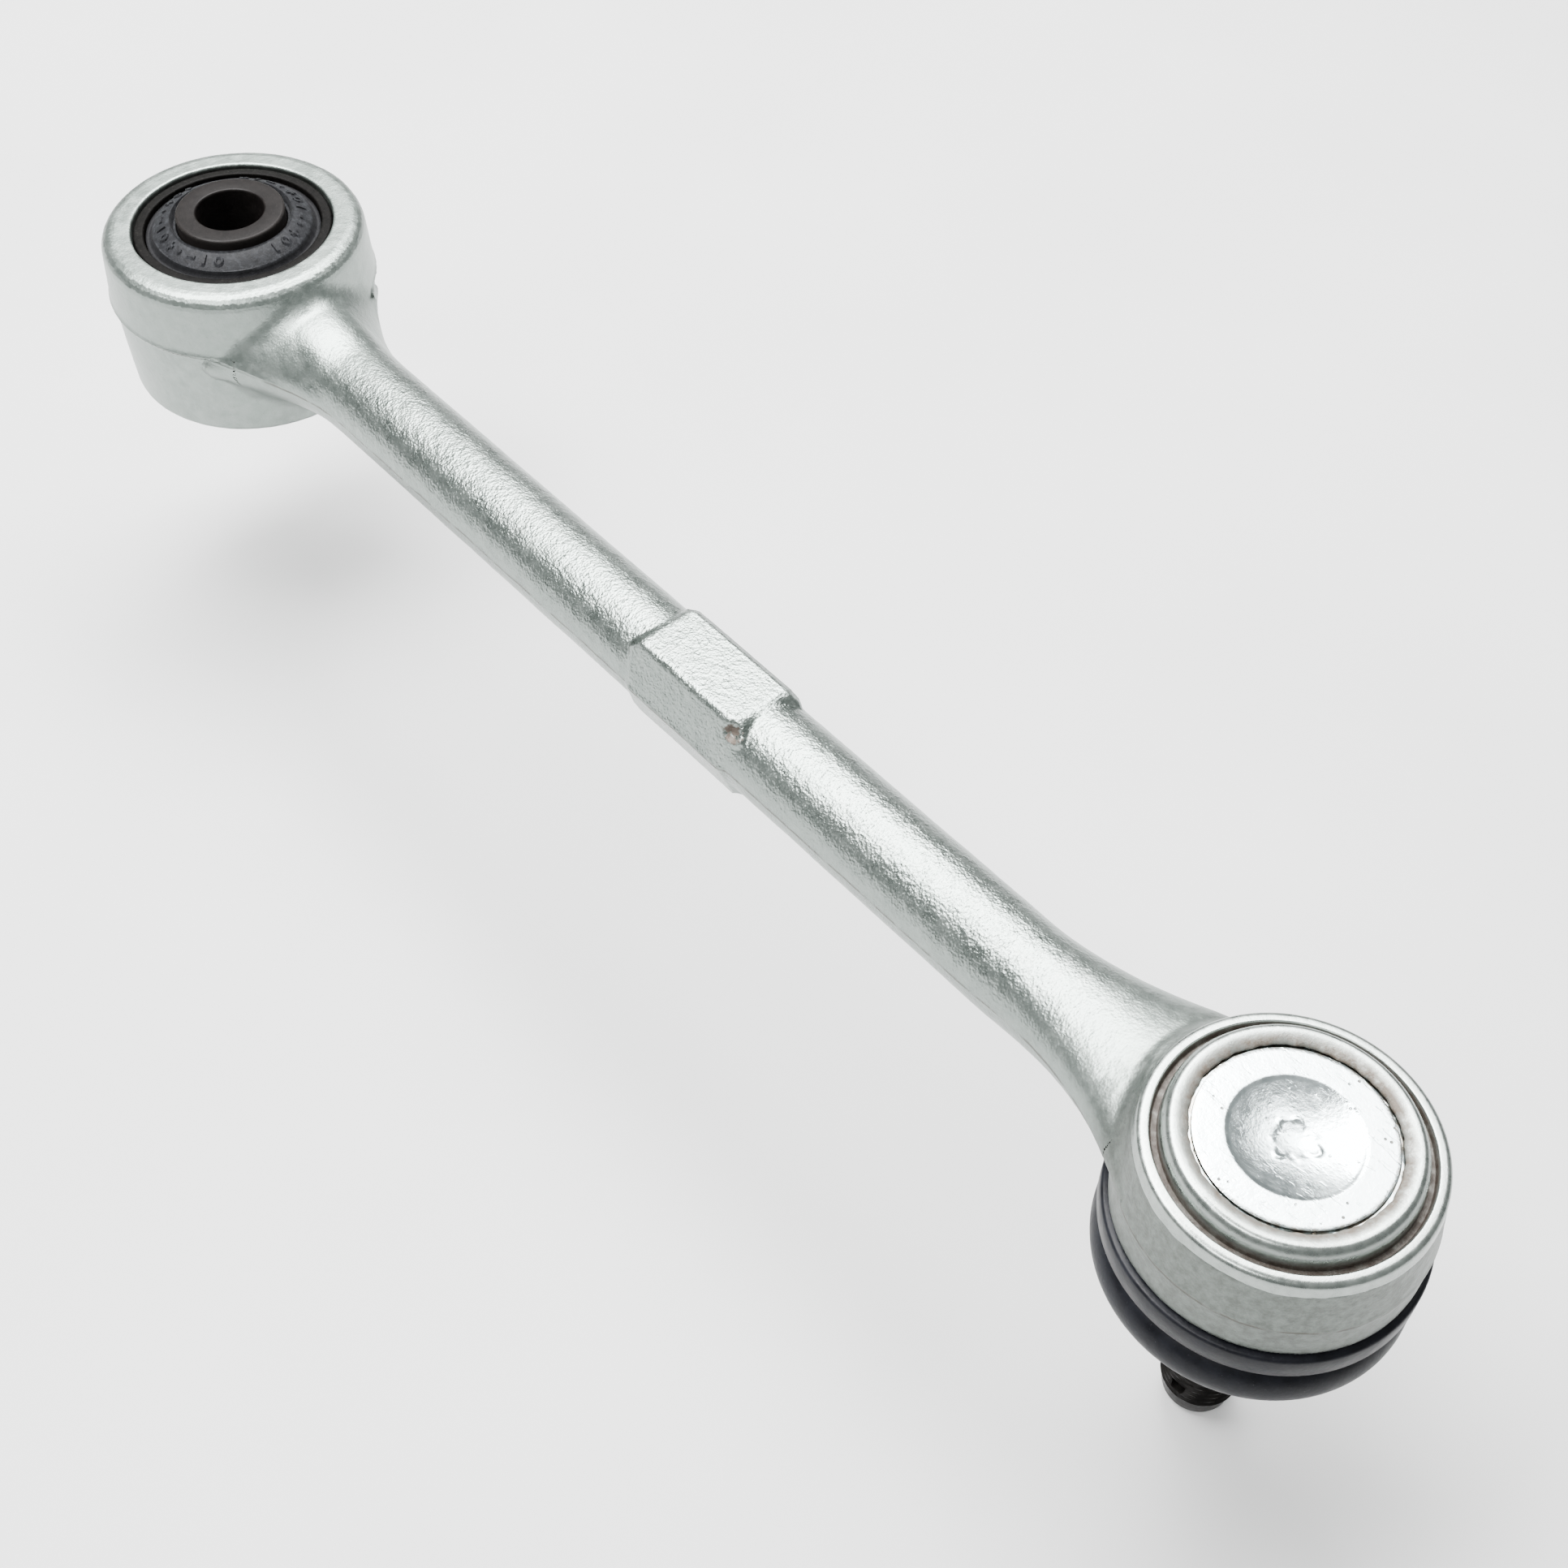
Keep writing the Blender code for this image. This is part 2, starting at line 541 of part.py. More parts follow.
def main():
    start_scene()
    zinc = material("zinc_plate", (0.62, 0.64, 0.63), 0.42, 1.0)
    bright = material("bright_steel", (0.66, 0.68, 0.68), 0.3, 1.0)
    dark = material("phosphated_steel", (0.09, 0.08, 0.08), 0.5, 0.6)
    stud_steel = material("oiled_steel", (0.16, 0.15, 0.14), 0.38, 0.9)
    rubber = material("bush_rubber", (0.03, 0.03, 0.035), 0.6, 0.0)
    boot_rubber = material("boot_rubber", (0.012, 0.013, 0.018), 0.35, 0.0)
    acetal = material("acetal", (0.82, 0.82, 0.78), 0.45, 0.0)
    ball_axis = (CENTRE_DISTANCE, 0.0, 0.0)
    ball_centre = (CENTRE_DISTANCE, 0.0, BALL_Z)
    make_arm(zinc)
    make_bush(dark, dark, rubber)
    make_races(acetal, ball_centre)
    make_cover(zinc, ball_axis)
    make_stud(stud_steel, ball_centre)
    make_boot(boot_rubber, bright, ball_axis)


main()
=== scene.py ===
"""Looks of the forged control arm: fine meshes, procedural materials, camera and light.

Millimetre sizes are written as numbers times MM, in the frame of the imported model: the
origin is the centre of the bush bore, +X runs to the ball joint, +Z is the bolt axis.
"""

import math

import bmesh
import bpy
import numpy as np
from mathutils import Matrix, Vector


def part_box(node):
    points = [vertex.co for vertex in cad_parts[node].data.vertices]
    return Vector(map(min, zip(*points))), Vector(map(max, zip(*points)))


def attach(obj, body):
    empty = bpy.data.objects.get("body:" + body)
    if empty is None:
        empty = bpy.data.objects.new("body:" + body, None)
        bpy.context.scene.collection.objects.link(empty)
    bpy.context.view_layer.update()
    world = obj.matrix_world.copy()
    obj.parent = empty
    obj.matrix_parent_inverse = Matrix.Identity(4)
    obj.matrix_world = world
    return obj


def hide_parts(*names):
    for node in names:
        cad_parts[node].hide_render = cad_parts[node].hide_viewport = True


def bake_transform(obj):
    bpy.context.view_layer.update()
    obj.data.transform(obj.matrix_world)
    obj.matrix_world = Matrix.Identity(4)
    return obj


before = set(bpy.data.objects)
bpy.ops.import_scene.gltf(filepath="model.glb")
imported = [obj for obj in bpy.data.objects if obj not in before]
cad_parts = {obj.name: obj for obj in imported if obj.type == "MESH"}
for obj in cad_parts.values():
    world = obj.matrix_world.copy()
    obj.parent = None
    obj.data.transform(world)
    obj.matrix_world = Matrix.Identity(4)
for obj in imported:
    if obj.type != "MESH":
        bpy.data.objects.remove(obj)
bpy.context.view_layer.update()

MM = 0.001

# How the forging's skin is made
VOXEL = 0.5 * MM
SETTLING_STEPS = 6
LONGEST_MOVE = 0.6 * MM

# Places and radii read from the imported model
sleeve_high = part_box("bush_inner_sleeve")[1]
outer_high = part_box("bush_outer_sleeve")[1]
rubber_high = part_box("bush_rubber")[1]
arm_low, arm_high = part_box("arm_forging")
stud_low, stud_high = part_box("ball_stud")
cover_low, cover_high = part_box("cover_plate")
boot_low, boot_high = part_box("dust_boot")
housing_ring_low, housing_ring_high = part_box("boot_housing_ring")
stud_ring_low, stud_ring_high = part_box("boot_stud_ring")

GAP = 0.3 * MM
BALL_RADIUS = (stud_high.y - stud_low.y) / 2
BALL_X = stud_low.x + (stud_high.x - stud_low.x) / 2
BALL_Z = stud_high.z - BALL_RADIUS
BALL_AXIS = Vector((BALL_X, 0.0, 0.0))

# Bush
INNER_SLEEVE_WALL = 4.3 * MM
OUTER_SLEEVE_WALL = 2.2 * MM

# Forging
ROD_RADIUS = 9.3 * MM
ROD_RISE = 0.6 * MM
EYE_RADIUS = -arm_low.x
EYE_TOP = 17.5 * MM
EYE_TOP_RADIUS = EYE_RADIUS - 1.4 * MM
EYE_FOOT_RADIUS = EYE_RADIUS - 2.0 * MM
BORE_RADIUS = outer_high.x + GAP
EYE_SEAM_RISE = 2.9 * MM
EYE_SEAM_END = 36.0 * MM
EYE_SEAM_RUN = 20.0 * MM
BALL_SEAM_RISE = 3.9 * MM
BALL_SEAM_START = 230.0 * MM
BALL_SEAM_RUN = 35.0 * MM
NECK_PLAN_FILLET = 50.0 * MM
NECK_SIDE_FILLET = 16.0 * MM
NECK_RISE = 2.4 * MM
NECK_END = 70.0 * MM
NECK_RUN = 34.0 * MM
NECK_NARROWING = 0.58
NECK_LOWERING = 0.38
PAD_CENTRE = 158.0 * MM
PAD_HALF_LENGTH = 14.0 * MM
PAD_HALF_TOP = 6.7 * MM
PAD_HALF_MID = 10.2 * MM
PAD_TOP = ROD_RADIUS + 0.4 * MM
HOUSING_RADIUS = arm_high.x - BALL_X
COVER_TOP = cover_high.z
RIM_Z = COVER_TOP - 1.8 * MM
RIM_RADIUS = HOUSING_RADIUS - 1.6 * MM
GROOVE_Z = RIM_Z - 1.4 * MM
RIM_SINK = 0.6 * MM
HOUSING_FOOT = BALL_Z - 9.0 * MM
SHELF_Z = HOUSING_FOOT + 9.0 * MM
SEAT_RADIUS = HOUSING_RADIUS - 4.2 * MM
BEAD_RADIUS = SEAT_RADIUS + 1.8 * MM
BEAD_HEIGHT = 1.5 * MM
SOCKET_RADIUS = BALL_RADIUS + 2.2 * MM
COVER_SEAT_RADIUS = (cover_high.y - cover_low.y) / 2 + GAP
LIP_RADIUS = COVER_SEAT_RADIUS + 2.5 * MM
LIP_CREST = COVER_TOP + 0.9 * MM
DISC_RADIUS = COVER_SEAT_RADIUS - GAP - 2.1 * MM
COLLAR_RADIUS = (boot_high.y - boot_low.y) / 2
COLLAR_HEIGHT = 7.3 * MM
BOOT_LENGTH = 30.0 * MM
HEEL_HEIGHT = 6.0 * MM
RING_WALL = 1.0 * MM
FLARE_PLAN_FILLET = 80.0 * MM
FLARE_TOP_FILLET = 200.0 * MM
FLARE_TOP_RISE = 2.8 * MM
FLARE_FOOT_RUN = 30.0 * MM


# ---- shapes as distances


def smooth_step(share):
    share = np.clip(share, 0.0, 1.0)
    return share * share * (3.0 - 2.0 * share)


def fillet_rise(distance, run, radius):
    inside = np.clip(run - distance, 0.0, radius)
    return radius - np.sqrt(radius * radius - inside * inside)


def plan_run(boss, fillet):
    return math.sqrt((boss + fillet) ** 2 - (ROD_RADIUS + fillet) ** 2)


def plan_tangent(boss, fillet):
    return plan_run(boss, fillet) * boss / (boss + fillet)


def rod_section(x):
    """Half width, top and bottom of the rod at each x, with its flares at both ends."""
    from_ball = BALL_X - x
    eye_rise = fillet_rise(x, EYE_RADIUS + NECK_SIDE_FILLET, NECK_SIDE_FILLET)
    eye_rise = NECK_RISE * (1.0 - np.exp(-eye_rise / NECK_RISE))
    top_run = HOUSING_RADIUS + math.sqrt(2 * FLARE_TOP_FILLET * FLARE_TOP_RISE)
    top_rise = np.minimum(fillet_rise(from_ball, top_run, FLARE_TOP_FILLET), FLARE_TOP_RISE)
    lift = SHELF_Z + GAP + ROD_RADIUS - ROD_RISE
    foot_end = COLLAR_RADIUS + GAP
    foot_rise = lift * smooth_step((foot_end + FLARE_FOOT_RUN - from_ball) / FLARE_FOOT_RUN)
    eye_x = np.maximum(x, plan_tangent(EYE_RADIUS, NECK_PLAN_FILLET))
    ball_x = np.maximum(from_ball, plan_tangent(HOUSING_RADIUS, FLARE_PLAN_FILLET))
    near_eye = fillet_rise(eye_x, plan_run(EYE_RADIUS, NECK_PLAN_FILLET), NECK_PLAN_FILLET)
    near_ball = fillet_rise(ball_x, plan_run(HOUSING_RADIUS, FLARE_PLAN_FILLET), FLARE_PLAN_FILLET)
    half_width = ROD_RADIUS + np.maximum(near_eye, near_ball)
    top = ROD_RISE + ROD_RADIUS + np.maximum(eye_rise, top_rise)
    bottom = ROD_RISE - ROD_RADIUS - eye_rise + foot_rise
    return half_width, top, bottom


def rounded(corners, steps=5):
    """Outline through (radius, height, fillet) corners, each fillet drawn as an arc."""
    points = []
    count = len(corners)
    for i, (radius, height, fillet) in enumerate(corners):
        here = np.array((radius, height))
        if fillet <= 0:
            points.append(here)
            continue
        before = np.array(corners[i - 1][:2]) - here
        after = np.array(corners[(i + 1) % count][:2]) - here
        before /= np.linalg.norm(before)
        after /= np.linalg.norm(after)
        half = math.acos(np.clip(before @ after, -1.0, 1.0)) / 2
        middle = before + after
        centre = here + middle / np.linalg.norm(middle) * fillet / math.sin(half)
        start = here + before * fillet / math.tan(half) - centre
        end = here + after * fillet / math.tan(half) - centre
        first = math.atan2(start[1], start[0])
        turn = math.atan2(end[1], end[0]) - first
        turn = (turn + math.pi) % (2 * math.pi) - math.pi
        for step in range(steps + 1):
            angle = first + turn * step / steps
            points.append(centre + fillet * np.array((math.cos(angle), math.sin(angle))))
    return np.array(points)


def outline_distance(points, outline):
    """Signed distance from flat points to a closed outline, negative inside."""
    nearest = np.full(len(points), np.inf)
    inside = np.zeros(len(points), bool)
    for start, end in zip(outline, np.roll(outline, -1, axis=0)):
        edge = end - start
        length = edge @ edge
        if length == 0:
            continue
        offset = points - start
        share = np.clip(offset @ edge / length, 0.0, 1.0)
        nearest = np.minimum(nearest, ((offset - share[:, None] * edge) ** 2).sum(1))
        crosses = (start[1] > points[:, 1]) != (end[1] > points[:, 1])
        if edge[1] != 0:
            inside ^= crosses & (offset[:, 0] < offset[:, 1] * edge[0] / edge[1])
    return np.where(inside, -1.0, 1.0) * np.sqrt(nearest)


def union(first, second, fillet):
    """Both shapes, with a round fillet where they meet."""
    near = np.hypot(np.maximum(fillet - first, 0.0), np.maximum(fillet - second, 0.0))
    return np.maximum(fillet, np.minimum(first, second)) - near


def cut(body, tool, fillet):
    """The body without the tool, with a rounded edge."""
    near = np.hypot(np.maximum(fillet + body, 0.0), np.maximum(fillet - tool, 0.0))
    return np.minimum(-fillet, np.maximum(body, -tool)) + near


def waves(points, size, count, seed):
    """Soft unevenness between about -1 and 1: a sum of waves in seeded directions."""
    random = np.random.default_rng(seed)
    directions = random.normal(size=(count, 3))
    directions /= np.linalg.norm(directions, axis=1)[:, None]
    rates = 2 * math.pi / (size * random.uniform(0.7, 1.5, count))
    phases = random.uniform(0, 2 * math.pi, count)
    total = np.zeros(len(points))
    for direction, rate, phase in zip(directions, rates, phases):
        total += np.sin(points @ direction * rate + phase)
    return total / math.sqrt(count)


def parting_height(x):
    near_eye = EYE_SEAM_RISE * smooth_step((EYE_SEAM_END - x) / EYE_SEAM_RUN)
    near_ball = BALL_SEAM_RISE * smooth_step((x - BALL_SEAM_START) / BALL_SEAM_RUN)
    return ROD_RISE + near_eye + near_ball


EYE_CORNERS = (
    (EYE_FOOT_RADIUS, -EYE_TOP, 1.8 * MM),
    (EYE_RADIUS - 1.0 * MM, ROD_RISE + EYE_SEAM_RISE - 0.35 * MM, 0.1 * MM),
    (EYE_RADIUS - 0.45 * MM, ROD_RISE + EYE_SEAM_RISE + 0.1 * MM, 0.2 * MM),
    (EYE_TOP_RADIUS, EYE_TOP, 3.2 * MM),
)
HOUSING_CORNERS = (
    (BEAD_RADIUS, HOUSING_FOOT, 0.3 * MM),
    (BEAD_RADIUS, HOUSING_FOOT + BEAD_HEIGHT, 0.3 * MM),
    (SEAT_RADIUS, HOUSING_FOOT + BEAD_HEIGHT, 0.2 * MM),
    (SEAT_RADIUS, SHELF_Z, 0.2 * MM),
    (HOUSING_RADIUS, SHELF_Z, 0.7 * MM),
    (HOUSING_RADIUS, ROD_RISE + BALL_SEAM_RISE, 0.3 * MM),
    (RIM_RADIUS, RIM_Z, 1.1 * MM),
    (LIP_RADIUS + 0.9 * MM, RIM_Z, 0.35 * MM),
    (LIP_RADIUS + 0.5 * MM, GROOVE_Z, 0.3 * MM),
)
RIM_SEAM = RIM_Z - 2.6 * MM
SIDE_DRAFT = (HOUSING_RADIUS - RIM_RADIUS) / (RIM_Z - ROD_RISE - BALL_SEAM_RISE)
HOUSING_SIDE_SEAM = (RIM_RADIUS + SIDE_DRAFT * (RIM_Z - RIM_SEAM), RIM_SEAM)
MOUTH_ANGLE = math.asin((BALL_Z - HOUSING_FOOT) / SOCKET_RADIUS)


def socket_wall():
    """The hollow of the housing, from its mouth up to the cover's seat."""
    wall = []
    for step in range(9):
        angle = -MOUTH_ANGLE * (1 - step / 8)
        wall.append((SOCKET_RADIUS * math.cos(angle), BALL_Z + SOCKET_RADIUS * math.sin(angle)))
    seat = cover_high.z - 2.3 * MM
    wall += [(SOCKET_RADIUS, seat), (COVER_SEAT_RADIUS, seat)]
    return wall


EYE_OUTLINE = rounded(((0, -EYE_TOP, 0), *EYE_CORNERS, (0, EYE_TOP, 0)))
HOUSING_OUTLINE = rounded(((0, HOUSING_FOOT, 0), *HOUSING_CORNERS, (0, GROOVE_Z, 0)))
SOCKET_OUTLINE = np.array([
    (0, HOUSING_FOOT - 5 * MM), (socket_wall()[0][0], HOUSING_FOOT - 5 * MM), *socket_wall(),
    (COVER_SEAT_RADIUS, LIP_CREST + 5 * MM), (0, LIP_CREST + 5 * MM),
])
BOOT_SPACE_OUTLINE = np.array([
    (SEAT_RADIUS, SHELF_Z), (COLLAR_RADIUS + 0.2 * MM, SHELF_Z),
    (COLLAR_RADIUS + 0.2 * MM, HOUSING_FOOT - 5 * MM), (BEAD_RADIUS, HOUSING_FOOT - 5 * MM),
    (BEAD_RADIUS, HOUSING_FOOT + BEAD_HEIGHT), (SEAT_RADIUS, HOUSING_FOOT + BEAD_HEIGHT),
])


def neck_lobe(x, half_width, half_height):
    """Near the eye the round top stays narrow, over a wider and lower web."""
    share = smooth_step((NECK_END - x) / NECK_RUN)
    lobe_width = half_width - NECK_NARROWING * share * (half_width - ROD_RADIUS)
    web_height = half_height * (1.0 - NECK_LOWERING * share)
    return lobe_width, web_height


def ellipse_distance(y, z, half_width, half_height):
    reach = np.hypot(y / half_width, z / half_height) + 1e-9
    slope = np.hypot(y / half_width**2, z / half_height**2) + 1e-9
    return reach * (reach - 1.0) / slope


def rod_distance(points):
    x = points[:, 0]
    half_width, top, bottom = rod_section(x)
    half_height = (top - bottom) / 2
    lobe_width, web_height = neck_lobe(x, half_width, half_height)
    y = points[:, 1]
    z = points[:, 2] - (top + bottom) / 2
    lobe = ellipse_distance(y, z, lobe_width, half_height)
    web = ellipse_distance(y, z, half_width, web_height)
    spread = np.clip((half_width - lobe_width) / (5.0 * MM), 0.0, 1.0)
    section = union(lobe, web, 7.0 * MM * spread)
    start = plan_tangent(EYE_RADIUS, NECK_PLAN_FILLET) - 6.0 * MM
    end = BALL_X - plan_tangent(HOUSING_RADIUS, FLARE_PLAN_FILLET)
    ends = np.maximum(start - x, x - end)
    return np.maximum(section, ends)


def pad_distance(points):
    """Block with drafted sides and sloped ends; its planes meet with a small round."""
    along = np.abs(points[:, 0] - PAD_CENTRE)
    y = np.abs(points[:, 1])
    z = np.abs(points[:, 2] - ROD_RISE)
    draft = math.atan2(PAD_HALF_MID - PAD_HALF_TOP, PAD_TOP)
    side = (y - PAD_HALF_MID) * math.cos(draft) + z * math.sin(draft)
    slope = math.radians(38)
    end = (along - PAD_HALF_LENGTH) * math.cos(slope) + (np.maximum(y, z) - ROD_RADIUS) * math.sin(slope)
    block = cut(z - PAD_TOP, -side, 0.9 * MM)
    return cut(block, -end, 1.0 * MM)


CHIP_PLACE = np.array((171.2 * MM, -7.6 * MM, 8.4 * MM))


def around(points, x):
    """The points as (radius, height) about the vertical axis at x."""
    return np.stack([np.hypot(points[:, 0] - x, points[:, 1]), points[:, 2]], 1)


def eye_distance(points):
    return outline_distance(around(points, 0.0), EYE_OUTLINE)


def housing_distance(points):
    return outline_distance(around(points, BALL_X), HOUSING_OUTLINE)


def fillets_at(points):
    """Fillet radius of eye and of housing at each point: none where they meet the rod flush."""
    rod = unit(slopes(rod_distance, points))
    radii = []
    from_eye = points[:, 0] - plan_tangent(EYE_RADIUS, NECK_PLAN_FILLET)
    from_ball = BALL_X - plan_tangent(HOUSING_RADIUS, FLARE_PLAN_FILLET) - points[:, 0]
    for boss, radius, inward in (
        (eye_distance, 4.2 * MM, from_eye),
        (housing_distance, 3.0 * MM, from_ball),
    ):
        meeting = (rod * unit(slopes(boss, points))).sum(1)
        apart = 1.0 - np.clip(meeting, 0.0, 1.0) ** 2
        radii.append(0.05 * MM + radius * apart * smooth_step(inward / (5.0 * MM)))
    return radii


def forging_distance(points, eye_fillet, housing_fillet):
    around_bush = around(points, 0.0)
    around_ball = around(points, BALL_X)
    body = union(rod_distance(points), pad_distance(points), 0.4 * MM)
    body = union(body, eye_distance(points), eye_fillet)
    rim = smooth_step((points[:, 2] - RIM_SEAM) / (1.0 * MM))
    rim *= around_ball[:, 0] < HOUSING_RADIUS + MM
    body = union(body, housing_distance(points) + RIM_SINK * rim, housing_fillet)
    seam = np.abs(points[:, 2] - parting_height(points[:, 0]))
    flash = 0.1 + 0.2 * smooth_step((EYE_SEAM_END - points[:, 0]) / (8.0 * MM))
    body -= flash * MM * np.exp(-((seam / (0.7 * MM)) ** 2))
    body += 0.03 * MM * waves(points, 14 * MM, 12, 3) + 0.012 * MM * waves(points, 3.0 * MM, 16, 5)
    chip = np.linalg.norm(points - CHIP_PLACE, axis=1) - 1.5 * MM
    body = cut(body, chip, 0.3 * MM)
    body = cut(body, around_bush[:, 0] - BORE_RADIUS, 0.5 * MM)
    body = cut(body, outline_distance(around_ball, BOOT_SPACE_OUTLINE), 0.15 * MM)
    return cut(body, outline_distance(around_ball, SOCKET_OUTLINE), 0.3 * MM)


def unit(vectors):
    return vectors / (np.linalg.norm(vectors, axis=1)[:, None] + 1e-12)


def slopes(distance, points, step=0.02 * MM):
    """Gradient of a distance by central differences."""
    gradient = np.empty_like(points)
    for axis in range(3):
        shift = np.zeros(3)
        shift[axis] = step
        gradient[:, axis] = (distance(points + shift) - distance(points - shift)) / (2 * step)
    return gradient


# ---- meshes


def new_object(name, data):
    obj = bpy.data.objects.new(name, data)
    bpy.context.scene.collection.objects.link(obj)
    return obj


def mesh_object(name, verts, faces):
    mesh = bpy.data.meshes.new(name)
    mesh.from_pydata(verts, [], faces)
    return new_object(name, mesh)


def face_outwards(mesh):
    bm = bmesh.new()
    bm.from_mesh(mesh)
    bmesh.ops.recalc_face_normals(bm, faces=bm.faces)
    bm.to_mesh(mesh)
    bm.free()


def finish_piece(obj, look, body, slot, *nodes, sharp=40):
    """Smooth shading, the material, the body it hangs from, and hiding the parts it stands for."""
    face_outwards(obj.data)
    obj.data.shade_smooth()
    if sharp:
        obj.data.set_sharp_from_angle(angle=math.radians(sharp))
    obj.data.materials.clear()
    obj.data.materials.append(look)
    if body is not None:
        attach(obj, body)
    if nodes:
        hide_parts(*nodes)


def turned(name, outline, steps, centre=Vector((0, 0, 0)), relief=None, gap_angle=0.0):
    """A closed (radius, height) outline spun about a vertical axis through the centre.

    relief changes radius and height by angle. gap_angle leaves a slit, with flat ends.
    """
    outline = np.asarray(outline, float)
    rows = len(outline)
    full = 2 * math.pi - gap_angle
    columns = steps if gap_angle == 0 else steps + 1
    angles = gap_angle / 2 + full * np.arange(columns) / steps
    radius = np.repeat(outline[:, 0][None], columns, 0)
    height = np.repeat(outline[:, 1][None], columns, 0)
    angle = np.repeat(angles[:, None], rows, 1)
    if relief is not None:
        radius, height = relief(radius, height, angle)
    poles = outline[:, 0] < 1e-9
    verts = np.stack([radius * np.cos(angle), radius * np.sin(angle), height], 2)
    index = np.arange(columns * rows).reshape(columns, rows)
    index[:, poles] = index[0, poles]
    faces = []
    last = columns if gap_angle == 0 else columns - 1
    for i in range(last):
        j = (i + 1) % columns
        for k in range(rows):
            m = (k + 1) % rows
            face = list(dict.fromkeys((index[i, k], index[i, m], index[j, m], index[j, k])))
            if len(face) > 2:
                faces.append([int(v) for v in face])
    if gap_angle:
        faces.append([int(v) for v in index[0]])
        faces.append([int(v) for v in index[-1][::-1]])
    points = verts.reshape(-1, 3) + np.array(centre)
    obj = mesh_object(name, points.tolist(), faces)
    bm = bmesh.new()
    bm.from_mesh(obj.data)
    bmesh.ops.delete(bm, geom=[v for v in bm.verts if not v.link_faces], context="VERTS")
    bm.to_mesh(obj.data)
    bm.free()
    return obj


def applied(obj):
    """Turns the object's modifiers into its mesh."""
    bpy.context.view_layer.update()
    graph = bpy.context.evaluated_depsgraph_get()
    mesh = bpy.data.meshes.new_from_object(obj.evaluated_get(graph), depsgraph=graph)
    obj.modifiers.clear()
    obj.data = mesh


def rough_forging():
    """Overlapping closed shells near the forging's surface, for the remesh to join."""
    eye = [(BORE_RADIUS, -EYE_TOP), *EYE_OUTLINE[1:-1], (BORE_RADIUS, EYE_TOP)]
    wall = socket_wall()
    housing = [wall[0], *HOUSING_OUTLINE[1:-1], (COVER_SEAT_RADIUS, GROOVE_Z), *wall[:0:-1]]
    shells = [turned("rough_eye", eye, 96), turned("rough_housing", housing, 96, BALL_AXIS)]
    stations = np.linspace(BORE_RADIUS + 2.5 * MM, BALL_X - COVER_SEAT_RADIUS - 2.2 * MM, 120)
    half_width, top, bottom = rod_section(stations)
    pad = (np.abs(stations - PAD_CENTRE) < PAD_HALF_LENGTH) * 0.6 * MM
    lobe_width, web_height = neck_lobe(stations, half_width, (top - bottom) / 2)
    sides = 48
    verts = []
    for x, width, high, low, extra, lobe, web in zip(
        stations, half_width, top, bottom, pad, lobe_width, web_height
    ):
        for side in range(sides):
            angle = 2 * math.pi * side / sides
            across = math.cos(angle)
            up = math.sin(angle)
            over_lobe = 1 / math.hypot(across / lobe, up / ((high - low) / 2))
            over_web = 1 / math.hypot(across / width, up / web)
            reach = max(over_lobe, over_web) + extra
            verts.append((x, reach * across, (high + low) / 2 + reach * up))
    faces = [list(range(sides))[::-1], [len(verts) - sides + i for i in range(sides)]]
    for ring in range(len(stations) - 1):
        for side in range(sides):
            a = ring * sides + side
            b = ring * sides + (side + 1) % sides
            faces.append((a, b, b + sides, a + sides))
    shells.append(mesh_object("rough_rod", verts, faces))
    for shell in shells:
        face_outwards(shell.data)
    return shells


def make_forging(look):
    shells = rough_forging()
    joined = bmesh.new()
    for shell in shells:
        joined.from_mesh(shell.data)
        bpy.data.objects.remove(shell)
    obj = mesh_object("forging", [], [])
    joined.to_mesh(obj.data)
    joined.free()
    remesh = obj.modifiers.new("remesh", "REMESH")
    remesh.mode = "VOXEL"
    remesh.voxel_size = VOXEL
    applied(obj)
    mesh = obj.data
    count = len(mesh.vertices)
    points = np.empty(count * 3, np.float32)
    mesh.vertices.foreach_get("co", points)
    points = points.reshape(-1, 3).astype(float)
    eye_fillet, housing_fillet = fillets_at(points)

    def distance(places):
        return forging_distance(places, eye_fillet, housing_fillet)

    for _ in range(SETTLING_STEPS):
        gradient = slopes(distance, points)
        size = (gradient**2).sum(1) + 0.05
        move = gradient * (distance(points) / size)[:, None]
        length = np.linalg.norm(move, axis=1)[:, None] + 1e-12
        points -= move * np.minimum(1.0, LONGEST_MOVE / length)
    mesh.vertices.foreach_set("co", points.astype(np.float32).ravel())
    mesh.update()
    finish_piece(obj, look, "arm", "zinc_plate", "arm_forging", sharp=None)
    mesh.normals_split_custom_set_from_vertices(unit(slopes(distance, points)).tolist())


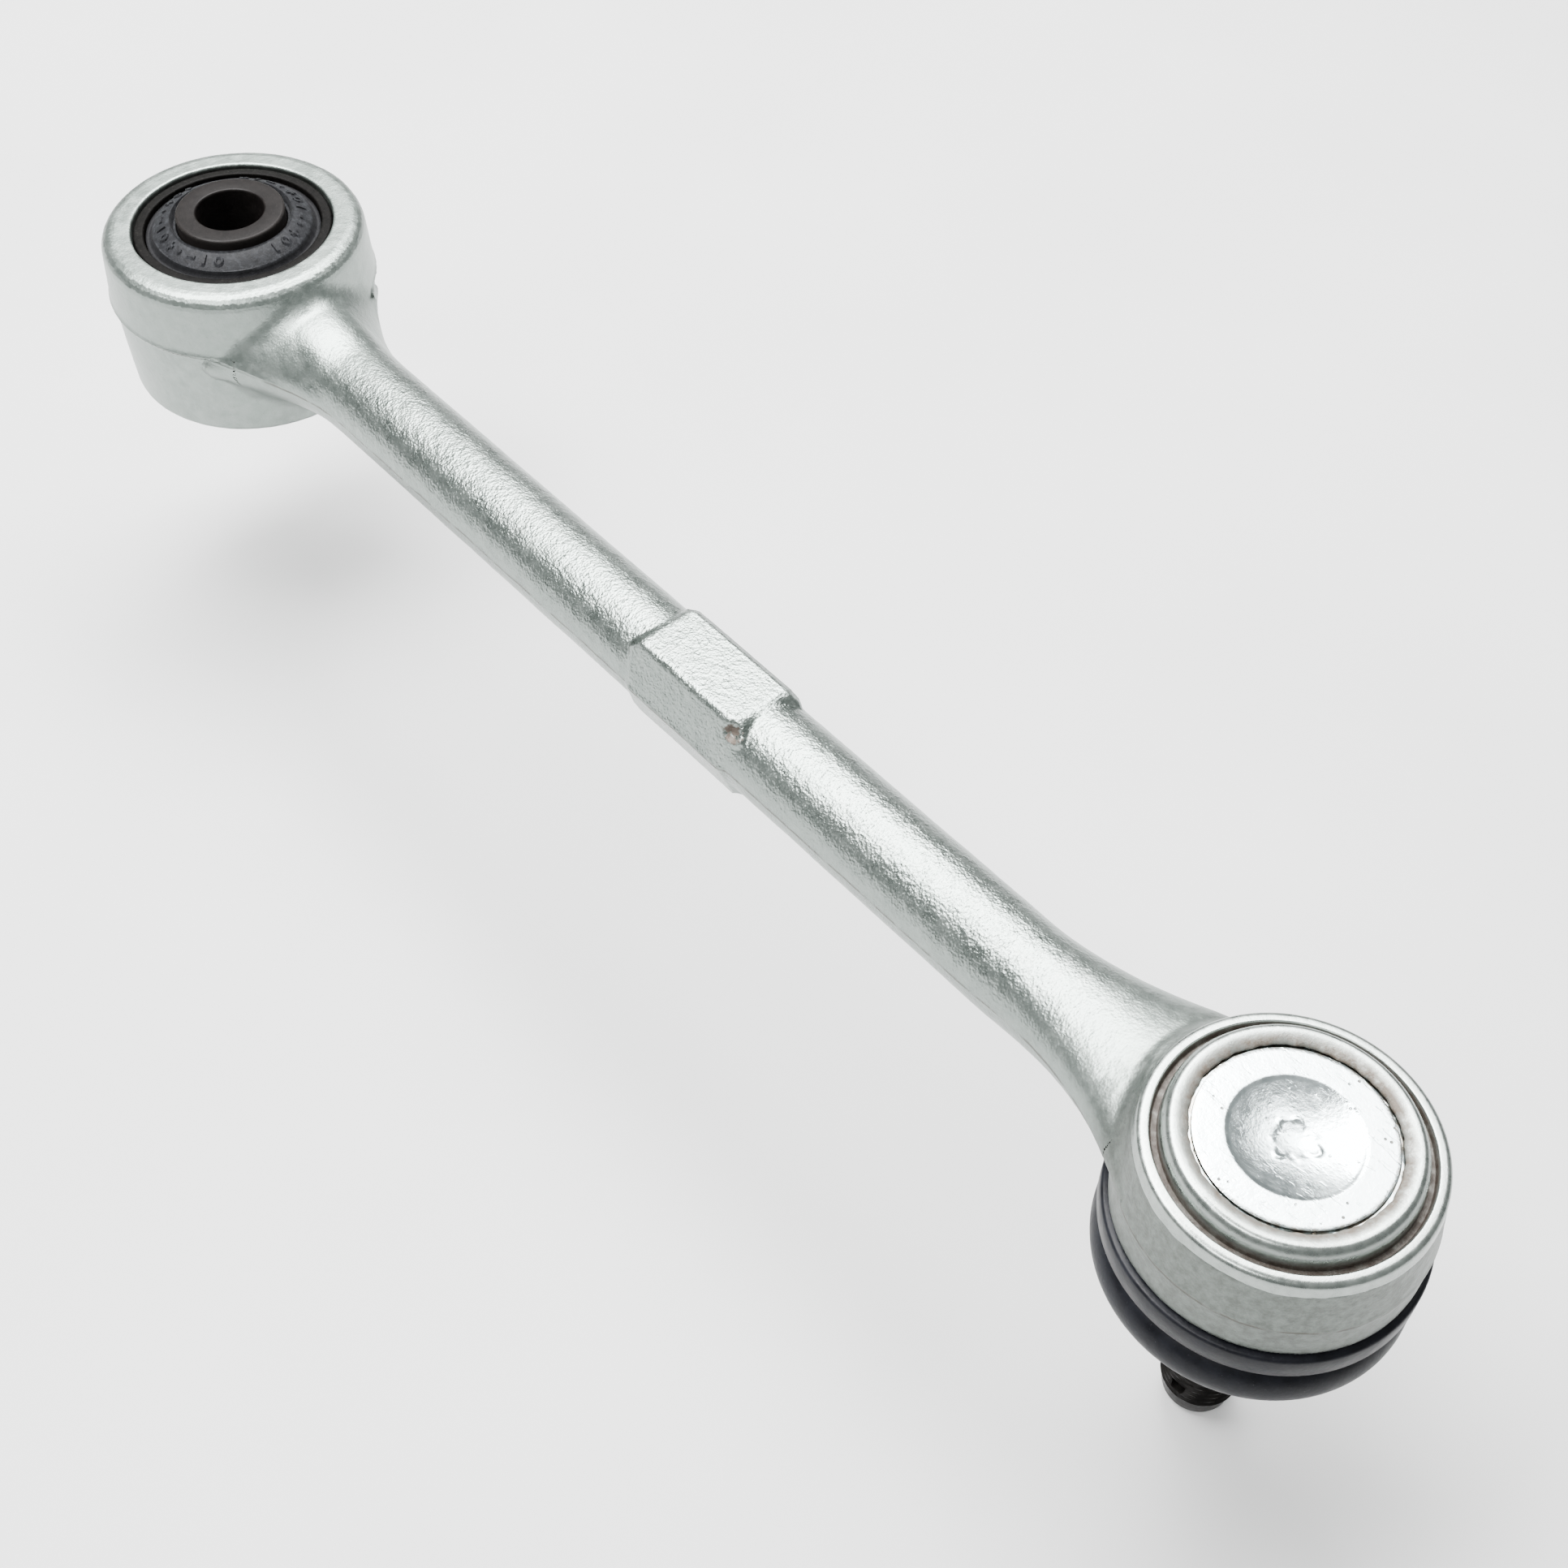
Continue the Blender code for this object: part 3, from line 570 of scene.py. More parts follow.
def lip_outline():
    """Side and round of the rim, the groove, and the rolled lip down to the cover."""
    middle = 18.25 * MM
    lip_foot = LIP_RADIUS - 0.35 * MM
    outer = lip_foot - middle
    inner = middle - DISC_RADIUS - 0.35 * MM
    foot = RIM_SEAM - 1.0 * MM
    side = [(HOUSING_RADIUS - 1.2 * MM, foot), HOUSING_SIDE_SEAM]
    corners = [(*HOUSING_SIDE_SEAM, 0.0), (RIM_RADIUS, RIM_Z, 1.1 * MM)]
    corners += [(LIP_RADIUS + 0.95 * MM, RIM_Z, 0.3 * MM), (LIP_RADIUS + 0.6 * MM, GROOVE_Z, 0.25 * MM)]
    corners += [(lip_foot, GROOVE_Z, 0.0)]
    rim = rounded(corners, 8)[1:].tolist()
    drop = HOUSING_SIDE_SEAM[1]
    for height in np.linspace(drop, RIM_Z - 1.3 * MM, 6)[1:]:
        side.append((HOUSING_SIDE_SEAM[0] - SIDE_DRAFT * (height - drop), height))
    crest = []
    for step in range(13):
        angle = math.pi / 2 * step / 12
        height = GROOVE_Z + (LIP_CREST - GROOVE_Z) * math.sin(angle) ** 0.85
        crest.append((middle + outer * math.cos(angle), height))
    for step in range(1, 9):
        angle = math.radians(82) * step / 8
        crest.append((middle - inner * math.sin(angle), LIP_CREST - 1.2 * MM * (1 - math.cos(angle))))
    seat = COVER_TOP - 0.38 * MM
    end = [(DISC_RADIUS + 0.5 * MM, seat), (COVER_SEAT_RADIUS, seat), (COVER_SEAT_RADIUS, foot)]
    return side + rim[:-1] + crest + end, middle, inner


def make_lip(look):
    outline, middle, inner = lip_outline()

    def relief(radius, height, angle):
        inward = np.clip((middle - radius) / inner, 0, 1) * (height > COVER_TOP - 0.5 * MM)
        ragged = 0.12 * np.sin(11 * angle) * np.sin(5 * angle + 1)
        ragged += 0.1 * np.sin(37 * angle + 2) * np.sin(9 * angle)
        roll = 0.06 * np.sin(3 * angle + 0.7) + 0.04 * np.sin(8 * angle + 2.1)
        on_lip = (height > GROOVE_Z) & (radius < LIP_RADIUS)
        return radius + ragged * inward**3 * MM, height + roll * MM * on_lip

    lip = turned("rim_and_lip", outline, 360, BALL_AXIS, relief)
    finish_piece(lip, look, "arm", "zinc_plate", sharp=60)


def make_cover(look):
    """Pressed cover: flat rim, shallow dish, and a staking mark in the middle."""
    dish = 10.8 * MM
    depth = 1.4 * MM
    flange = COVER_TOP - 0.7 * MM
    radii = [0.0] + [dish * (step / 48) for step in range(1, 49)]
    radii += [dish + (DISC_RADIUS - 0.35 * MM - dish) * step / 8 for step in range(1, 9)]
    top = []
    for radius in radii:
        share = min(radius / dish, 1.0)
        drop = depth * (1 - share**2) * float(smooth_step((1.0 - share) / 0.09))
        top.append((radius, COVER_TOP - drop))
    edge = [(DISC_RADIUS - 0.1 * MM, COVER_TOP - 0.06 * MM), (DISC_RADIUS, COVER_TOP - 0.3 * MM)]
    edge += [(DISC_RADIUS, flange), (COVER_SEAT_RADIUS - GAP, flange)]
    edge += [(COVER_SEAT_RADIUS - GAP, COVER_TOP - 2 * MM), (dish, COVER_TOP - 2 * MM)]
    edge += [(dish / 2, cover_low.z), (0.0, cover_low.z)]
    outline = np.array(top + edge)

    def relief(radius, height, angle):
        on_top = height > COVER_TOP - 1.7 * MM
        mark_radius = (3.3 + 0.45 * np.sin(3 * angle + 0.4) + 0.3 * np.sin(7 * angle)) * MM
        ring = np.exp(-(((radius - mark_radius) / (0.45 * MM)) ** 2))
        strength = 0.15 * (0.3 + 0.9 * np.sin(angle * 2 + 1.2) * np.sin(5 * angle))
        crater = -0.10 * np.exp(-((radius / (2.2 * MM)) ** 4))
        return radius, height + on_top * (ring * strength + crater) * MM

    cover = turned("cover_disc", outline, 192, BALL_AXIS, relief)
    finish_piece(cover, look, "arm", "cover_steel", "cover_plate", sharp=50)


def make_bush(sleeve_look, rubber_look, core_look):
    outer = outer_high.x
    inner = outer - OUTER_SLEEVE_WALL
    half = outer_high.z
    corners = [(inner, -half, 0.4 * MM), (outer, -half, 0.5 * MM)]
    corners += [(outer, half, 0.5 * MM), (inner, half, 0.4 * MM)]
    tube = turned("bush_outer_tube", rounded(corners), 160)
    finish_piece(tube, sleeve_look, "arm", "sleeve_steel", "bush_outer_sleeve", sharp=60)

    core = sleeve_high.x
    bore = core - INNER_SLEEVE_WALL
    top = sleeve_high.z
    corners = [(bore, -top, 0.5 * MM), (core, -top, 0.6 * MM)]
    corners += [(core, top, 0.6 * MM), (bore, top, 0.5 * MM)]
    tube = turned("bush_inner_tube", rounded(corners), 160)
    finish_piece(tube, core_look, "bolt_sleeve", "phosphated_steel", "bush_inner_sleeve", sharp=60)
    make_bush_rubber(rubber_look)


def mark_height(radius, angle, middle):
    """Raised moulded marks on the rubber: short bars, dots and rings in a repeating order."""
    places = 30
    turn = (angle % (2 * math.pi)) / (2 * math.pi) * places
    place = np.floor(turn)
    along = (turn - place - 0.5) * (2 * math.pi * middle / places)
    across = radius - middle
    reach = np.hypot(along, across)
    upright = (np.abs(across) < 0.95 * MM) & (np.abs(along) < 0.26 * MM)
    level = (np.abs(across) < 0.28 * MM) & (np.abs(along) < 0.95 * MM)
    ring = (reach < 0.95 * MM) & (reach > 0.5 * MM)
    dot = reach < 0.45 * MM
    kind = place % 5
    raised = ((kind == 0) & upright) | ((kind == 1) & ring) | ((kind == 2) & (upright | level))
    raised |= ((kind == 3) & dot) | ((kind == 4) & level)
    return np.where(raised & (place % 15 < 12), 1.0, 0.0)


def make_bush_rubber(look):
    """Rubber between the sleeves; its face rises inwards, between a groove and a moat."""
    low = sleeve_high.x + GAP
    high = rubber_high.x
    land_start = low + 1.0 * MM
    land_end = high - 1.5 * MM
    land_top = rubber_high.z
    land_foot = land_top - 2.3 * MM
    middle = (land_start + land_end) / 2
    groove = land_foot - 1.7 * MM
    moat = land_top - 1.6 * MM
    upper = [(high, groove + 0.3 * MM), (high - 0.25 * MM, groove + 0.05 * MM), (high - 0.6 * MM, groove)]
    upper += [(high - 1.0 * MM, groove + 0.2 * MM), (land_end + 0.12 * MM, land_foot - 0.7 * MM)]
    upper += [(land_end - 0.1 * MM, land_foot - 0.12 * MM)]
    for share in np.linspace(0.06, 0.94, 22):
        swell = 0.22 * MM * math.sin(math.pi * share)
        radius = land_end + (land_start - land_end) * share
        upper.append((radius, land_foot + (land_top - land_foot) * share + swell))
    upper += [(land_start + 0.05 * MM, land_top - 0.03 * MM), (land_start - 0.14 * MM, land_top - 0.3 * MM)]
    upper += [(land_start - 0.3 * MM, moat + 0.3 * MM), (land_start - 0.5 * MM, moat), (low, moat)]
    lower = [(radius, -height) for radius, height in reversed(upper)]

    def relief(radius, height, angle):
        on_land = (radius > land_start + 0.1 * MM) & (radius < land_end - 0.15 * MM)
        raised = mark_height(radius, angle, middle) * on_land * 0.38 * MM
        sag = 0.12 * MM * np.sin(2 * angle + 0.6) * on_land
        return radius, height + np.sign(height) * (raised + sag - 0.25 * MM * on_land)

    rubber = turned("bush_rubber_block", lower + upper, 720, relief=relief)
    finish_piece(rubber, look, "bush_core", "bush_rubber", "bush_rubber", sharp=50)


def make_stud(look):
    """Ball, neck, seat taper and a real helical thread down to the nose."""
    ball = BALL_RADIUS
    centre = Vector((BALL_X, 0.0, BALL_Z))
    nose_end = stud_low.z - BALL_Z
    neck = 7.0 * MM
    shank = 9.0 * MM
    join = math.acos(neck / ball)
    outline = [(0.0, ball)]
    for step in range(1, 40):
        angle = math.pi / 2 - (math.pi / 2 + join) * step / 39
        outline.append((ball * math.cos(angle), ball * math.sin(angle)))
    thread_start = -43.4 * MM
    thread_end = nose_end + 3.8 * MM
    thread = 6.9 * MM
    pitch = 1.5 * MM
    outline += [(neck, -20.2 * MM), (neck + 0.3 * MM, -20.9 * MM), (shank - 0.2 * MM, -22.8 * MM)]
    outline += [(shank, -23.2 * MM), (shank, -29.3 * MM), (shank - 0.05 * MM, -29.6 * MM)]
    outline += [(shank - 0.58 * MM, -41.2 * MM), (shank - 0.9 * MM, -41.5 * MM), (6.2 * MM, -41.5 * MM)]
    outline += [(6.0 * MM, -41.7 * MM), (6.0 * MM, -43.1 * MM)]
    rows = int(round((thread_end - thread_start) / (-0.15 * MM)))
    levels = np.linspace(thread_start, thread_end, rows)
    outline += [(thread, level) for level in levels]
    outline += [(6.15 * MM, thread_end - 0.15 * MM), (6.1 * MM, thread_end - 0.4 * MM)]
    outline += [(6.1 * MM, nose_end + 1.0 * MM), (5.9 * MM, nose_end + 0.45 * MM)]
    outline += [(5.2 * MM, nose_end), (4.6 * MM, nose_end), (1.2 * MM, nose_end + 0.15 * MM)]
    outline += [(0.7 * MM, nose_end + 0.6 * MM), (0.0, nose_end + 0.75 * MM)]

    def relief(radius, height, angle):
        cut_here = np.isclose(radius, thread)
        share = np.abs(((height / pitch - angle / (2 * math.pi)) % 1.0) * 2 - 1)
        run_in = np.clip((thread_start - height) / pitch, 0, 1)
        run_out = np.clip((height - thread_end) / (0.7 * pitch), 0, 1)
        depth = 0.85 * MM * np.clip(share * 1.25 - 0.12, 0, 1) * np.minimum(1, run_in + 0.3)
        depth = np.maximum(depth, 0.75 * MM * (1 - run_out))
        return radius - depth * cut_here, height

    stud = turned("stud_and_ball", outline, 120, centre, relief)
    reach = 12 * MM
    drill = 1.6 * MM
    hole = turned("cross_hole", [(0, -reach), (drill, -reach), (drill, reach), (0, reach)], 32)
    turn = Matrix.Rotation(math.pi / 2, 4, "X")
    hole.data.transform(Matrix.Translation(centre + Vector((0, 0, nose_end + 7.8 * MM))) @ turn)
    for shape in (stud, hole):
        face_outwards(shape.data)
    boolean = stud.modifiers.new("cross_hole", "BOOLEAN")
    boolean.object = hole
    boolean.operation = "DIFFERENCE"
    applied(stud)
    bpy.data.objects.remove(hole)
    finish_piece(stud, look, "stud", "stud_steel", "ball_stud", sharp=32)


def make_boot(look):
    """The bellows in two lengths, which meet at the widest line of the fold."""
    collar_top = SHELF_Z - GAP
    collar_foot = collar_top - COLLAR_HEIGHT
    ring_top = collar_foot + 2.3 * MM
    ring_bed = COLLAR_RADIUS - 2.5 * MM
    seat = SEAT_RADIUS + GAP
    bead = BEAD_RADIUS + GAP
    bead_top = HOUSING_FOOT + BEAD_HEIGHT + GAP
    thick = 5.0 * MM
    thin = 3.0 * MM
    fold_r = COLLAR_RADIUS - thick
    fold_z = collar_foot - thick
    seam_angle = math.radians(-12)

    def fold(radius, start, end, count):
        angles = [start + (end - start) * step / count for step in range(count + 1)]
        return [(fold_r + radius * math.cos(a), fold_z + radius * math.sin(a)) for a in angles]

    upper = [(seat, collar_top - 0.2 * MM), (seat + 0.3 * MM, collar_top)]
    upper += [(COLLAR_RADIUS - 0.6 * MM, collar_top)]
    upper += [(COLLAR_RADIUS - 0.18 * MM, collar_top - 0.18 * MM), (COLLAR_RADIUS, collar_top - 0.6 * MM)]
    upper += [(COLLAR_RADIUS, ring_top + 0.45 * MM), (COLLAR_RADIUS - 0.15 * MM, ring_top + 0.12 * MM)]
    upper += [
        (COLLAR_RADIUS - 0.5 * MM, ring_top),
        (ring_bed, ring_top),
        (ring_bed, collar_foot + 0.15 * MM),
    ]
    upper += [(ring_bed + 0.1 * MM, collar_foot - 0.12 * MM)]
    upper += fold(thick, math.radians(60), seam_angle, 22)
    upper += fold(thin, seam_angle, math.radians(38), 12)
    upper += [(bead, HOUSING_FOOT - GAP), (bead, bead_top), (seat, bead_top)]

    heel_foot = collar_top - BOOT_LENGTH
    heel_top = heel_foot + HEEL_HEIGHT
    heel_in = 9.3 * MM
    heel_out = heel_in + 3.3 * MM
    ring_z = (heel_top + heel_foot) / 2
    lower = fold(thick, seam_angle, math.radians(-78), 20)
    lower += [(heel_out + 1.1 * MM, heel_top + 0.45 * MM), (heel_out + 0.25 * MM, heel_top - 0.1 * MM)]
    bed_high = ring_z + 1.15 * MM
    bed_low = ring_z - 1.15 * MM
    lower += [(heel_out, heel_top - 0.5 * MM), (heel_out, bed_high), (heel_out - 0.5 * MM, bed_high)]
    lower += [(heel_out - 0.5 * MM, bed_low), (heel_out, bed_low)]
    lower += [(heel_out, heel_foot + 0.5 * MM), (heel_out - 0.4 * MM, heel_foot)]
    lower += [(heel_in + 0.25 * MM, heel_foot), (heel_in, heel_foot + 0.3 * MM), (heel_in, heel_top)]
    lower += fold(thin, math.radians(-80), seam_angle, 14)
    split = (BALL_X, 0, fold_z + thick * math.sin(seam_angle))
    for name, outline, ends, first, second in (
        ("boot_upper_fold", upper, ("arm", "boot_fold"), (BALL_X, 0, collar_foot), split),
        ("boot_lower_fold", lower, ("boot_fold", "boot_heel"), split, (BALL_X, 0, heel_top)),
    ):
        piece = turned(name, outline, 144, BALL_AXIS)
        finish_piece(piece, look, None, "boot_rubber", "dust_boot", sharp=55)
        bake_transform(piece)


def ring_outline(inner, outer, low, high):
    edge = 0.18 * MM
    return rounded([(inner, low, edge), (outer, low, edge), (outer, high, edge), (inner, high, edge)], 3)


def make_rings(look):
    """Two flat sprung rings, each with a narrow gap."""
    housing_ring = (housing_ring_low, housing_ring_high)
    stud_ring = (stud_ring_low, stud_ring_high)
    for name, node, (low, high), body, steps, gap in (
        ("boot_upper_ring", "boot_housing_ring", housing_ring, "arm", 160, 1.6),
        ("boot_lower_ring", "boot_stud_ring", stud_ring, "boot_heel", 120, 3.0),
    ):
        outer = (high.y - low.y) / 2
        outline = ring_outline(outer - RING_WALL, outer, low.z, high.z)
        ring = turned(name, outline, steps, BALL_AXIS, gap_angle=math.radians(gap))
        finish_piece(ring, look, body, "ring_steel", node, sharp=50)


# ---- materials


class Look:
    """One material's nodes. Places are in millimetres of the object."""

    def __init__(self, name):
        self.material = bpy.data.materials.new(name)
        self.material.use_nodes = True
        self.tree = self.material.node_tree
        self.tree.nodes.clear()
        self.shader = self.add("BsdfPrincipled")
        output = self.add("OutputMaterial")
        self.tree.links.new(self.shader.outputs["BSDF"], output.inputs["Surface"])
        place = self.add("TexCoord").outputs["Object"]
        self.place = self.vector("SCALE", place, scale=1000.0)
        self.heights = []

    def add(self, kind, **settings):
        node = self.tree.nodes.new("ShaderNode" + kind)
        for key, value in settings.items():
            setattr(node, key, value)
        return node

    def put(self, socket, value):
        if isinstance(value, bpy.types.NodeSocket):
            self.tree.links.new(value, socket)
        elif socket.type == "RGBA":
            socket.default_value = (*value, 1.0)
        else:
            socket.default_value = value

    def vector(self, operation, first, second=None, scale=None):
        node = self.add("VectorMath", operation=operation)
        self.put(node.inputs[0], first)
        if second is not None:
            self.put(node.inputs[1], second)
        if scale is not None:
            self.put(node.inputs["Scale"], scale)
        return node.outputs["Vector"]

    def math(self, operation, first, second=0.0, clamp=False):
        node = self.add("Math", operation=operation, use_clamp=clamp)
        self.put(node.inputs[0], first)
        self.put(node.inputs[1], second)
        return node.outputs[0]

    def moved(self, x=0.0, y=0.0, z=0.0):
        return self.vector("SUBTRACT", self.place, (x, y, z))

    def stretched(self, x, y, z):
        return self.vector("MULTIPLY", self.place, (x, y, z))

    def noise(self, size, detail=3.0, rough=0.55, place=None):
        """Cloudy values from about 0.25 to 0.75, with features of this many millimetres."""
        node = self.add("TexNoise")
        self.put(node.inputs["Vector"], place or self.place)
        node.inputs["Scale"].default_value = 1.0 / size
        node.inputs["Detail"].default_value = detail
        node.inputs["Roughness"].default_value = rough
        return node.outputs["Fac"]

    def cells(self, size, feature="F1", soft=0.0):
        node = self.add("TexVoronoi", feature=feature)
        self.put(node.inputs["Vector"], self.place)
        node.inputs["Scale"].default_value = 1.0 / size
        if feature == "SMOOTH_F1":
            node.inputs["Smoothness"].default_value = soft
        return node.outputs["Distance"]

    def part(self, axis):
        node = self.add("SeparateXYZ")
        self.put(node.inputs[0], self.place)
        return node.outputs[axis]

    def radius(self, x):
        """Distance in millimetres from the vertical axis at this x."""
        return self.vector_length(self.vector("MULTIPLY", self.moved(x=x), (1.0, 1.0, 0.0)))

    def vector_length(self, vector):
        node = self.add("VectorMath", operation="LENGTH")
        self.put(node.inputs[0], vector)
        return node.outputs["Value"]

    def share(self, value, low, high, to_low=0.0, to_high=1.0, smooth=False):
        """Maps low..high to to_low..to_high, clamped."""
        node = self.add("MapRange")
        node.interpolation_type = "SMOOTHSTEP" if smooth else "LINEAR"
        node.clamp = True
        self.put(node.inputs["Value"], value)
        for key, number in (("From Min", low), ("From Max", high), ("To Min", to_low), ("To Max", to_high)):
            self.put(node.inputs[key], number)
        return node.outputs["Result"]

    def spread(self, clouds, low, high):
        """Maps the usual reach of a noise to low..high."""
        return self.share(clouds, 0.3, 0.7, low, high)

    def band(self, value, middle, half, soft):
        """1 within half of the middle, fading to 0 over soft."""
        away = self.math("ABSOLUTE", self.math("SUBTRACT", value, middle))
        return self.share(away, half + soft, half, smooth=True)

    def times(self, *values):
        total = values[0]
        for value in values[1:]:
            total = self.math("MULTIPLY", total, value)
        return total

    def mix(self, share, first, second):
        node = self.add("Mix", data_type="RGBA")
        sockets = {socket.identifier: socket for socket in (*node.inputs, *node.outputs)}
        self.put(sockets["Factor_Float"], share)
        self.put(sockets["A_Color"], first)
        self.put(sockets["B_Color"], second)
        return sockets["Result_Color"]

    def two_tone(self, value, first, second, low=0.3, high=0.7):
        return self.mix(self.share(value, low, high), first, second)

    def spots(self, base, colour, most, size, detail, low, high):
        """The base with spots of another colour, where a noise rises from low to high."""
        return self.mix(self.share(self.noise(size, detail), low, high, 0.0, most), base, colour)

    def raise_by(self, height, millimetres):
        self.heights.append(self.math("MULTIPLY", height, millimetres))

    def roughen(self, millimetres, *noise):
        self.raise_by(self.noise(*noise), millimetres)

    def done(self, colour, metallic, rough, **uniform):
        if self.heights:
            total = self.heights[0]
            for height in self.heights[1:]:
                total = self.math("ADD", total, height)
            bump = self.add("Bump")
            bump.inputs["Distance"].default_value = MM
            self.put(bump.inputs["Height"], total)
            self.put(self.shader.inputs["Normal"], bump.outputs["Normal"])
        self.put(self.shader.inputs["Base Color"], colour)
        self.put(self.shader.inputs["Metallic"], metallic)
        self.put(self.shader.inputs["Roughness"], rough)
        for key, value in uniform.items():
            self.put(self.shader.inputs[key.replace("_", " ")], value)
        return self.material


def zinc_plate():
    """Bright zinc over a forged, peened skin, with painted shade darkening the housing's side, which is
    also a little rougher.
    """
    look = Look("zinc_plate")
    patches = look.noise(14.0, 4.0, 0.6)
    clouds = look.noise(2.6, 4.0, 0.62)
    grain = look.noise(0.42, 3.0, 0.6)
    dimples = look.cells(1.15, "SMOOTH_F1", 0.45)
    fine = look.cells(0.5, "SMOOTH_F1", 0.4)
    height = look.part("Z")
    along = look.part("X")
    near_ball = look.share(along, 262.0, 270.0)

    base = look.two_tone(clouds, (0.185, 0.212, 0.198), (0.27, 0.30, 0.282))
    base = look.mix(look.share(patches, 0.35, 0.7, 0.0, 0.6), base, (0.22, 0.255, 0.235))
    speck = look.share(grain, 0.62, 0.74, 0.0, 0.5)
    base = look.mix(speck, base, (0.12, 0.125, 0.115))

    # Painted shade: the housing's side below the rim is darkened in patches and made a little rougher.
    side_shade_noise = look.share(look.noise(1.5, 4.0, 0.7), 0.36, 0.64, 0.6, 0.95)
    side = look.times(near_ball, look.share(height, 15.8, 14.2), side_shade_noise)
    base = look.mix(side, base, (0.098, 0.107, 0.097))

    ball_seam = look.share(along, 230.0, 265.0, 0.6, 4.5, smooth=True)
    eye_seam = look.share(along, 36.0, 16.0, 0.0, 2.75, smooth=True)
    seam_off = look.math("SUBTRACT", height, look.math("ADD", ball_seam, eye_seam))
    wander = look.share(look.noise(5.0, 2.0), 0.3, 0.7, -0.12, 0.12)
    seam = look.band(look.math("ADD", seam_off, wander), 0.0, 0.12, 0.2)
    breaks = look.share(look.noise(4.0, 3.0), 0.36, 0.50, 0.15, 1.0)
    seam = look.times(seam, breaks)
    by_neck = look.band(along, 24.0, 4.0, 5.0)
    # Painted shade: a dark line along the parting-line ledge, faded out by the neck.
    seam_shade = look.times(seam, look.share(by_neck, 0.0, 1.0, 0.75, 0.1))
    base = look.mix(seam_shade, base, (0.07, 0.065, 0.055))

    from_chip = look.vector_length(look.moved(*(CHIP_PLACE / MM)))
    ragged = look.share(look.noise(1.1, 3.0), 0.3, 0.7, -0.9, 0.9)
    chip = look.share(look.math("ADD", from_chip, ragged), 2.1, 1.6)
    base = look.mix(look.times(chip, 0.9), base, (0.06, 0.038, 0.026))

    skin = look.times(look.share(along, 28.0, 60.0, 0.3, 1.0), look.share(along, 262.0, 235.0, 0.35, 1.0))
    look.raise_by(look.times(dimples, skin), 0.085)
    look.raise_by(look.times(fine, skin), 0.075)
    look.raise_by(look.times(grain, skin), 0.07)
    look.roughen(0.03, 1.9, 3.0, 0.6)
    look.raise_by(seam, -0.05)
    rough = look.spread(clouds, 0.25, 0.34)
    rough = look.math("ADD", rough, look.share(skin, 0.3, 1.0, 0.1, 0.0))
    rough = look.math("ADD", rough, look.times(chip, 0.3))
    rough = look.math("ADD", rough, look.times(side, 0.08))
    metal = look.share(chip, 0.0, 1.0, 1.0, 0.25)
    return look.done(base, metal, rough)


def rolled_zinc():
    """The rolled lip: smoother than the forging, brown where it closes on the cover, with rust and painted
    shade in the groove outside it.
    """
    look = Look("rolled_zinc")
    radius = look.radius(BALL_X / MM)
    clouds = look.noise(1.8, 4.0, 0.6)
    stain = look.share(look.noise(2.4, 4.0, 0.7), 0.36, 0.60)
    inner = look.times(look.share(radius, 17.8, 16.6), look.share(stain, 0, 1, 0.45, 1.0))
    # The groove outside the lip gets rust and, over it, painted shade.
    in_groove = look.times(look.band(radius, 20.5, 0.55, 0.3), look.share(look.part("Z"), 16.6, 15.1))
    outer = look.times(in_groove, look.share(stain, 0, 1, 0.6, 1.0))
    rust_and_shade = look.math("MAXIMUM", inner, outer)
    base = look.two_tone(clouds, (0.24, 0.265, 0.25), (0.34, 0.37, 0.35))
    # Rust on the inner flank; in the groove this brown is partly rust and partly painted shade.
    base = look.mix(look.times(rust_and_shade, 0.92), base, (0.075, 0.054, 0.038))
    # Painted shade: the groove is darkened nearly to black.
    base = look.mix(look.times(outer, 0.85), base, (0.022, 0.015, 0.011))
    look.roughen(0.02, 0.5, 3.0)
    look.raise_by(clouds, 0.04)
    look.raise_by(look.times(rust_and_shade, look.noise(0.35, 4.0, 0.7)), 0.1)
    rough = look.math("ADD", look.spread(clouds, 0.24, 0.34), look.times(rust_and_shade, 0.3))
    return look.done(base, look.share(rust_and_shade, 0.0, 1.0, 1.0, 0.25), rough)


def cover_steel():
    """Plated pressed disc: bright, soft scratches, small dark pits by the rim."""
    look = Look("cover_steel")
    radius = look.radius(BALL_X / MM)
    clouds = look.noise(2.2, 4.0, 0.62)
    pits = look.share(look.cells(1.7), 0.16, 0.08)
    some = look.share(look.noise(3.0, 2.0), 0.5, 0.58)
    pits = look.times(pits, some, look.share(radius, 9.0, 12.0, 0.25, 1.0))
    scratch = look.share(look.noise(0.9, 3.0, 0.5, look.stretched(0.25, 1.0, 1.0)), 0.60, 0.66)
    base = look.two_tone(clouds, (0.40, 0.45, 0.455), (0.51, 0.57, 0.575))
    base = look.mix(look.times(pits, 0.9), base, (0.10, 0.08, 0.06))
    stain = look.share(look.noise(1.6, 4.0), 0.4, 0.6)
    rim = look.times(look.share(radius, 14.6, 15.35), stain, 0.7)
    base = look.mix(rim, base, (0.24, 0.18, 0.12))
    look.roughen(0.012, 0.55, 3.0)
    look.raise_by(clouds, 0.05)
    look.raise_by(pits, -0.12)
    look.raise_by(scratch, -0.012)
    rough = look.math("ADD", look.spread(clouds, 0.15, 0.24), look.times(pits, 0.4))
    return look.done(base, look.share(pits, 0, 1, 1.0, 0.3), rough)


def sleeve_steel():
    """Outer tube of the bush: brown-black phosphate with a little zinc overspray."""
    look = Look("sleeve_steel")
    clouds = look.noise(1.3, 4.0, 0.62)
    base = look.two_tone(clouds, (0.0013, 0.0012, 0.0011), (0.0032, 0.0029, 0.0027), 0.35, 0.65)
    base = look.spots(base, (0.018, 0.017, 0.015), 0.4, 0.5, 3.0, 0.62, 0.70)
    look.roughen(0.03, 0.4, 3.0)
    look.raise_by(clouds, 0.05)
    return look.done(base, 0.0, look.spread(clouds, 0.40, 0.58), Specular_IOR_Level=0.04)


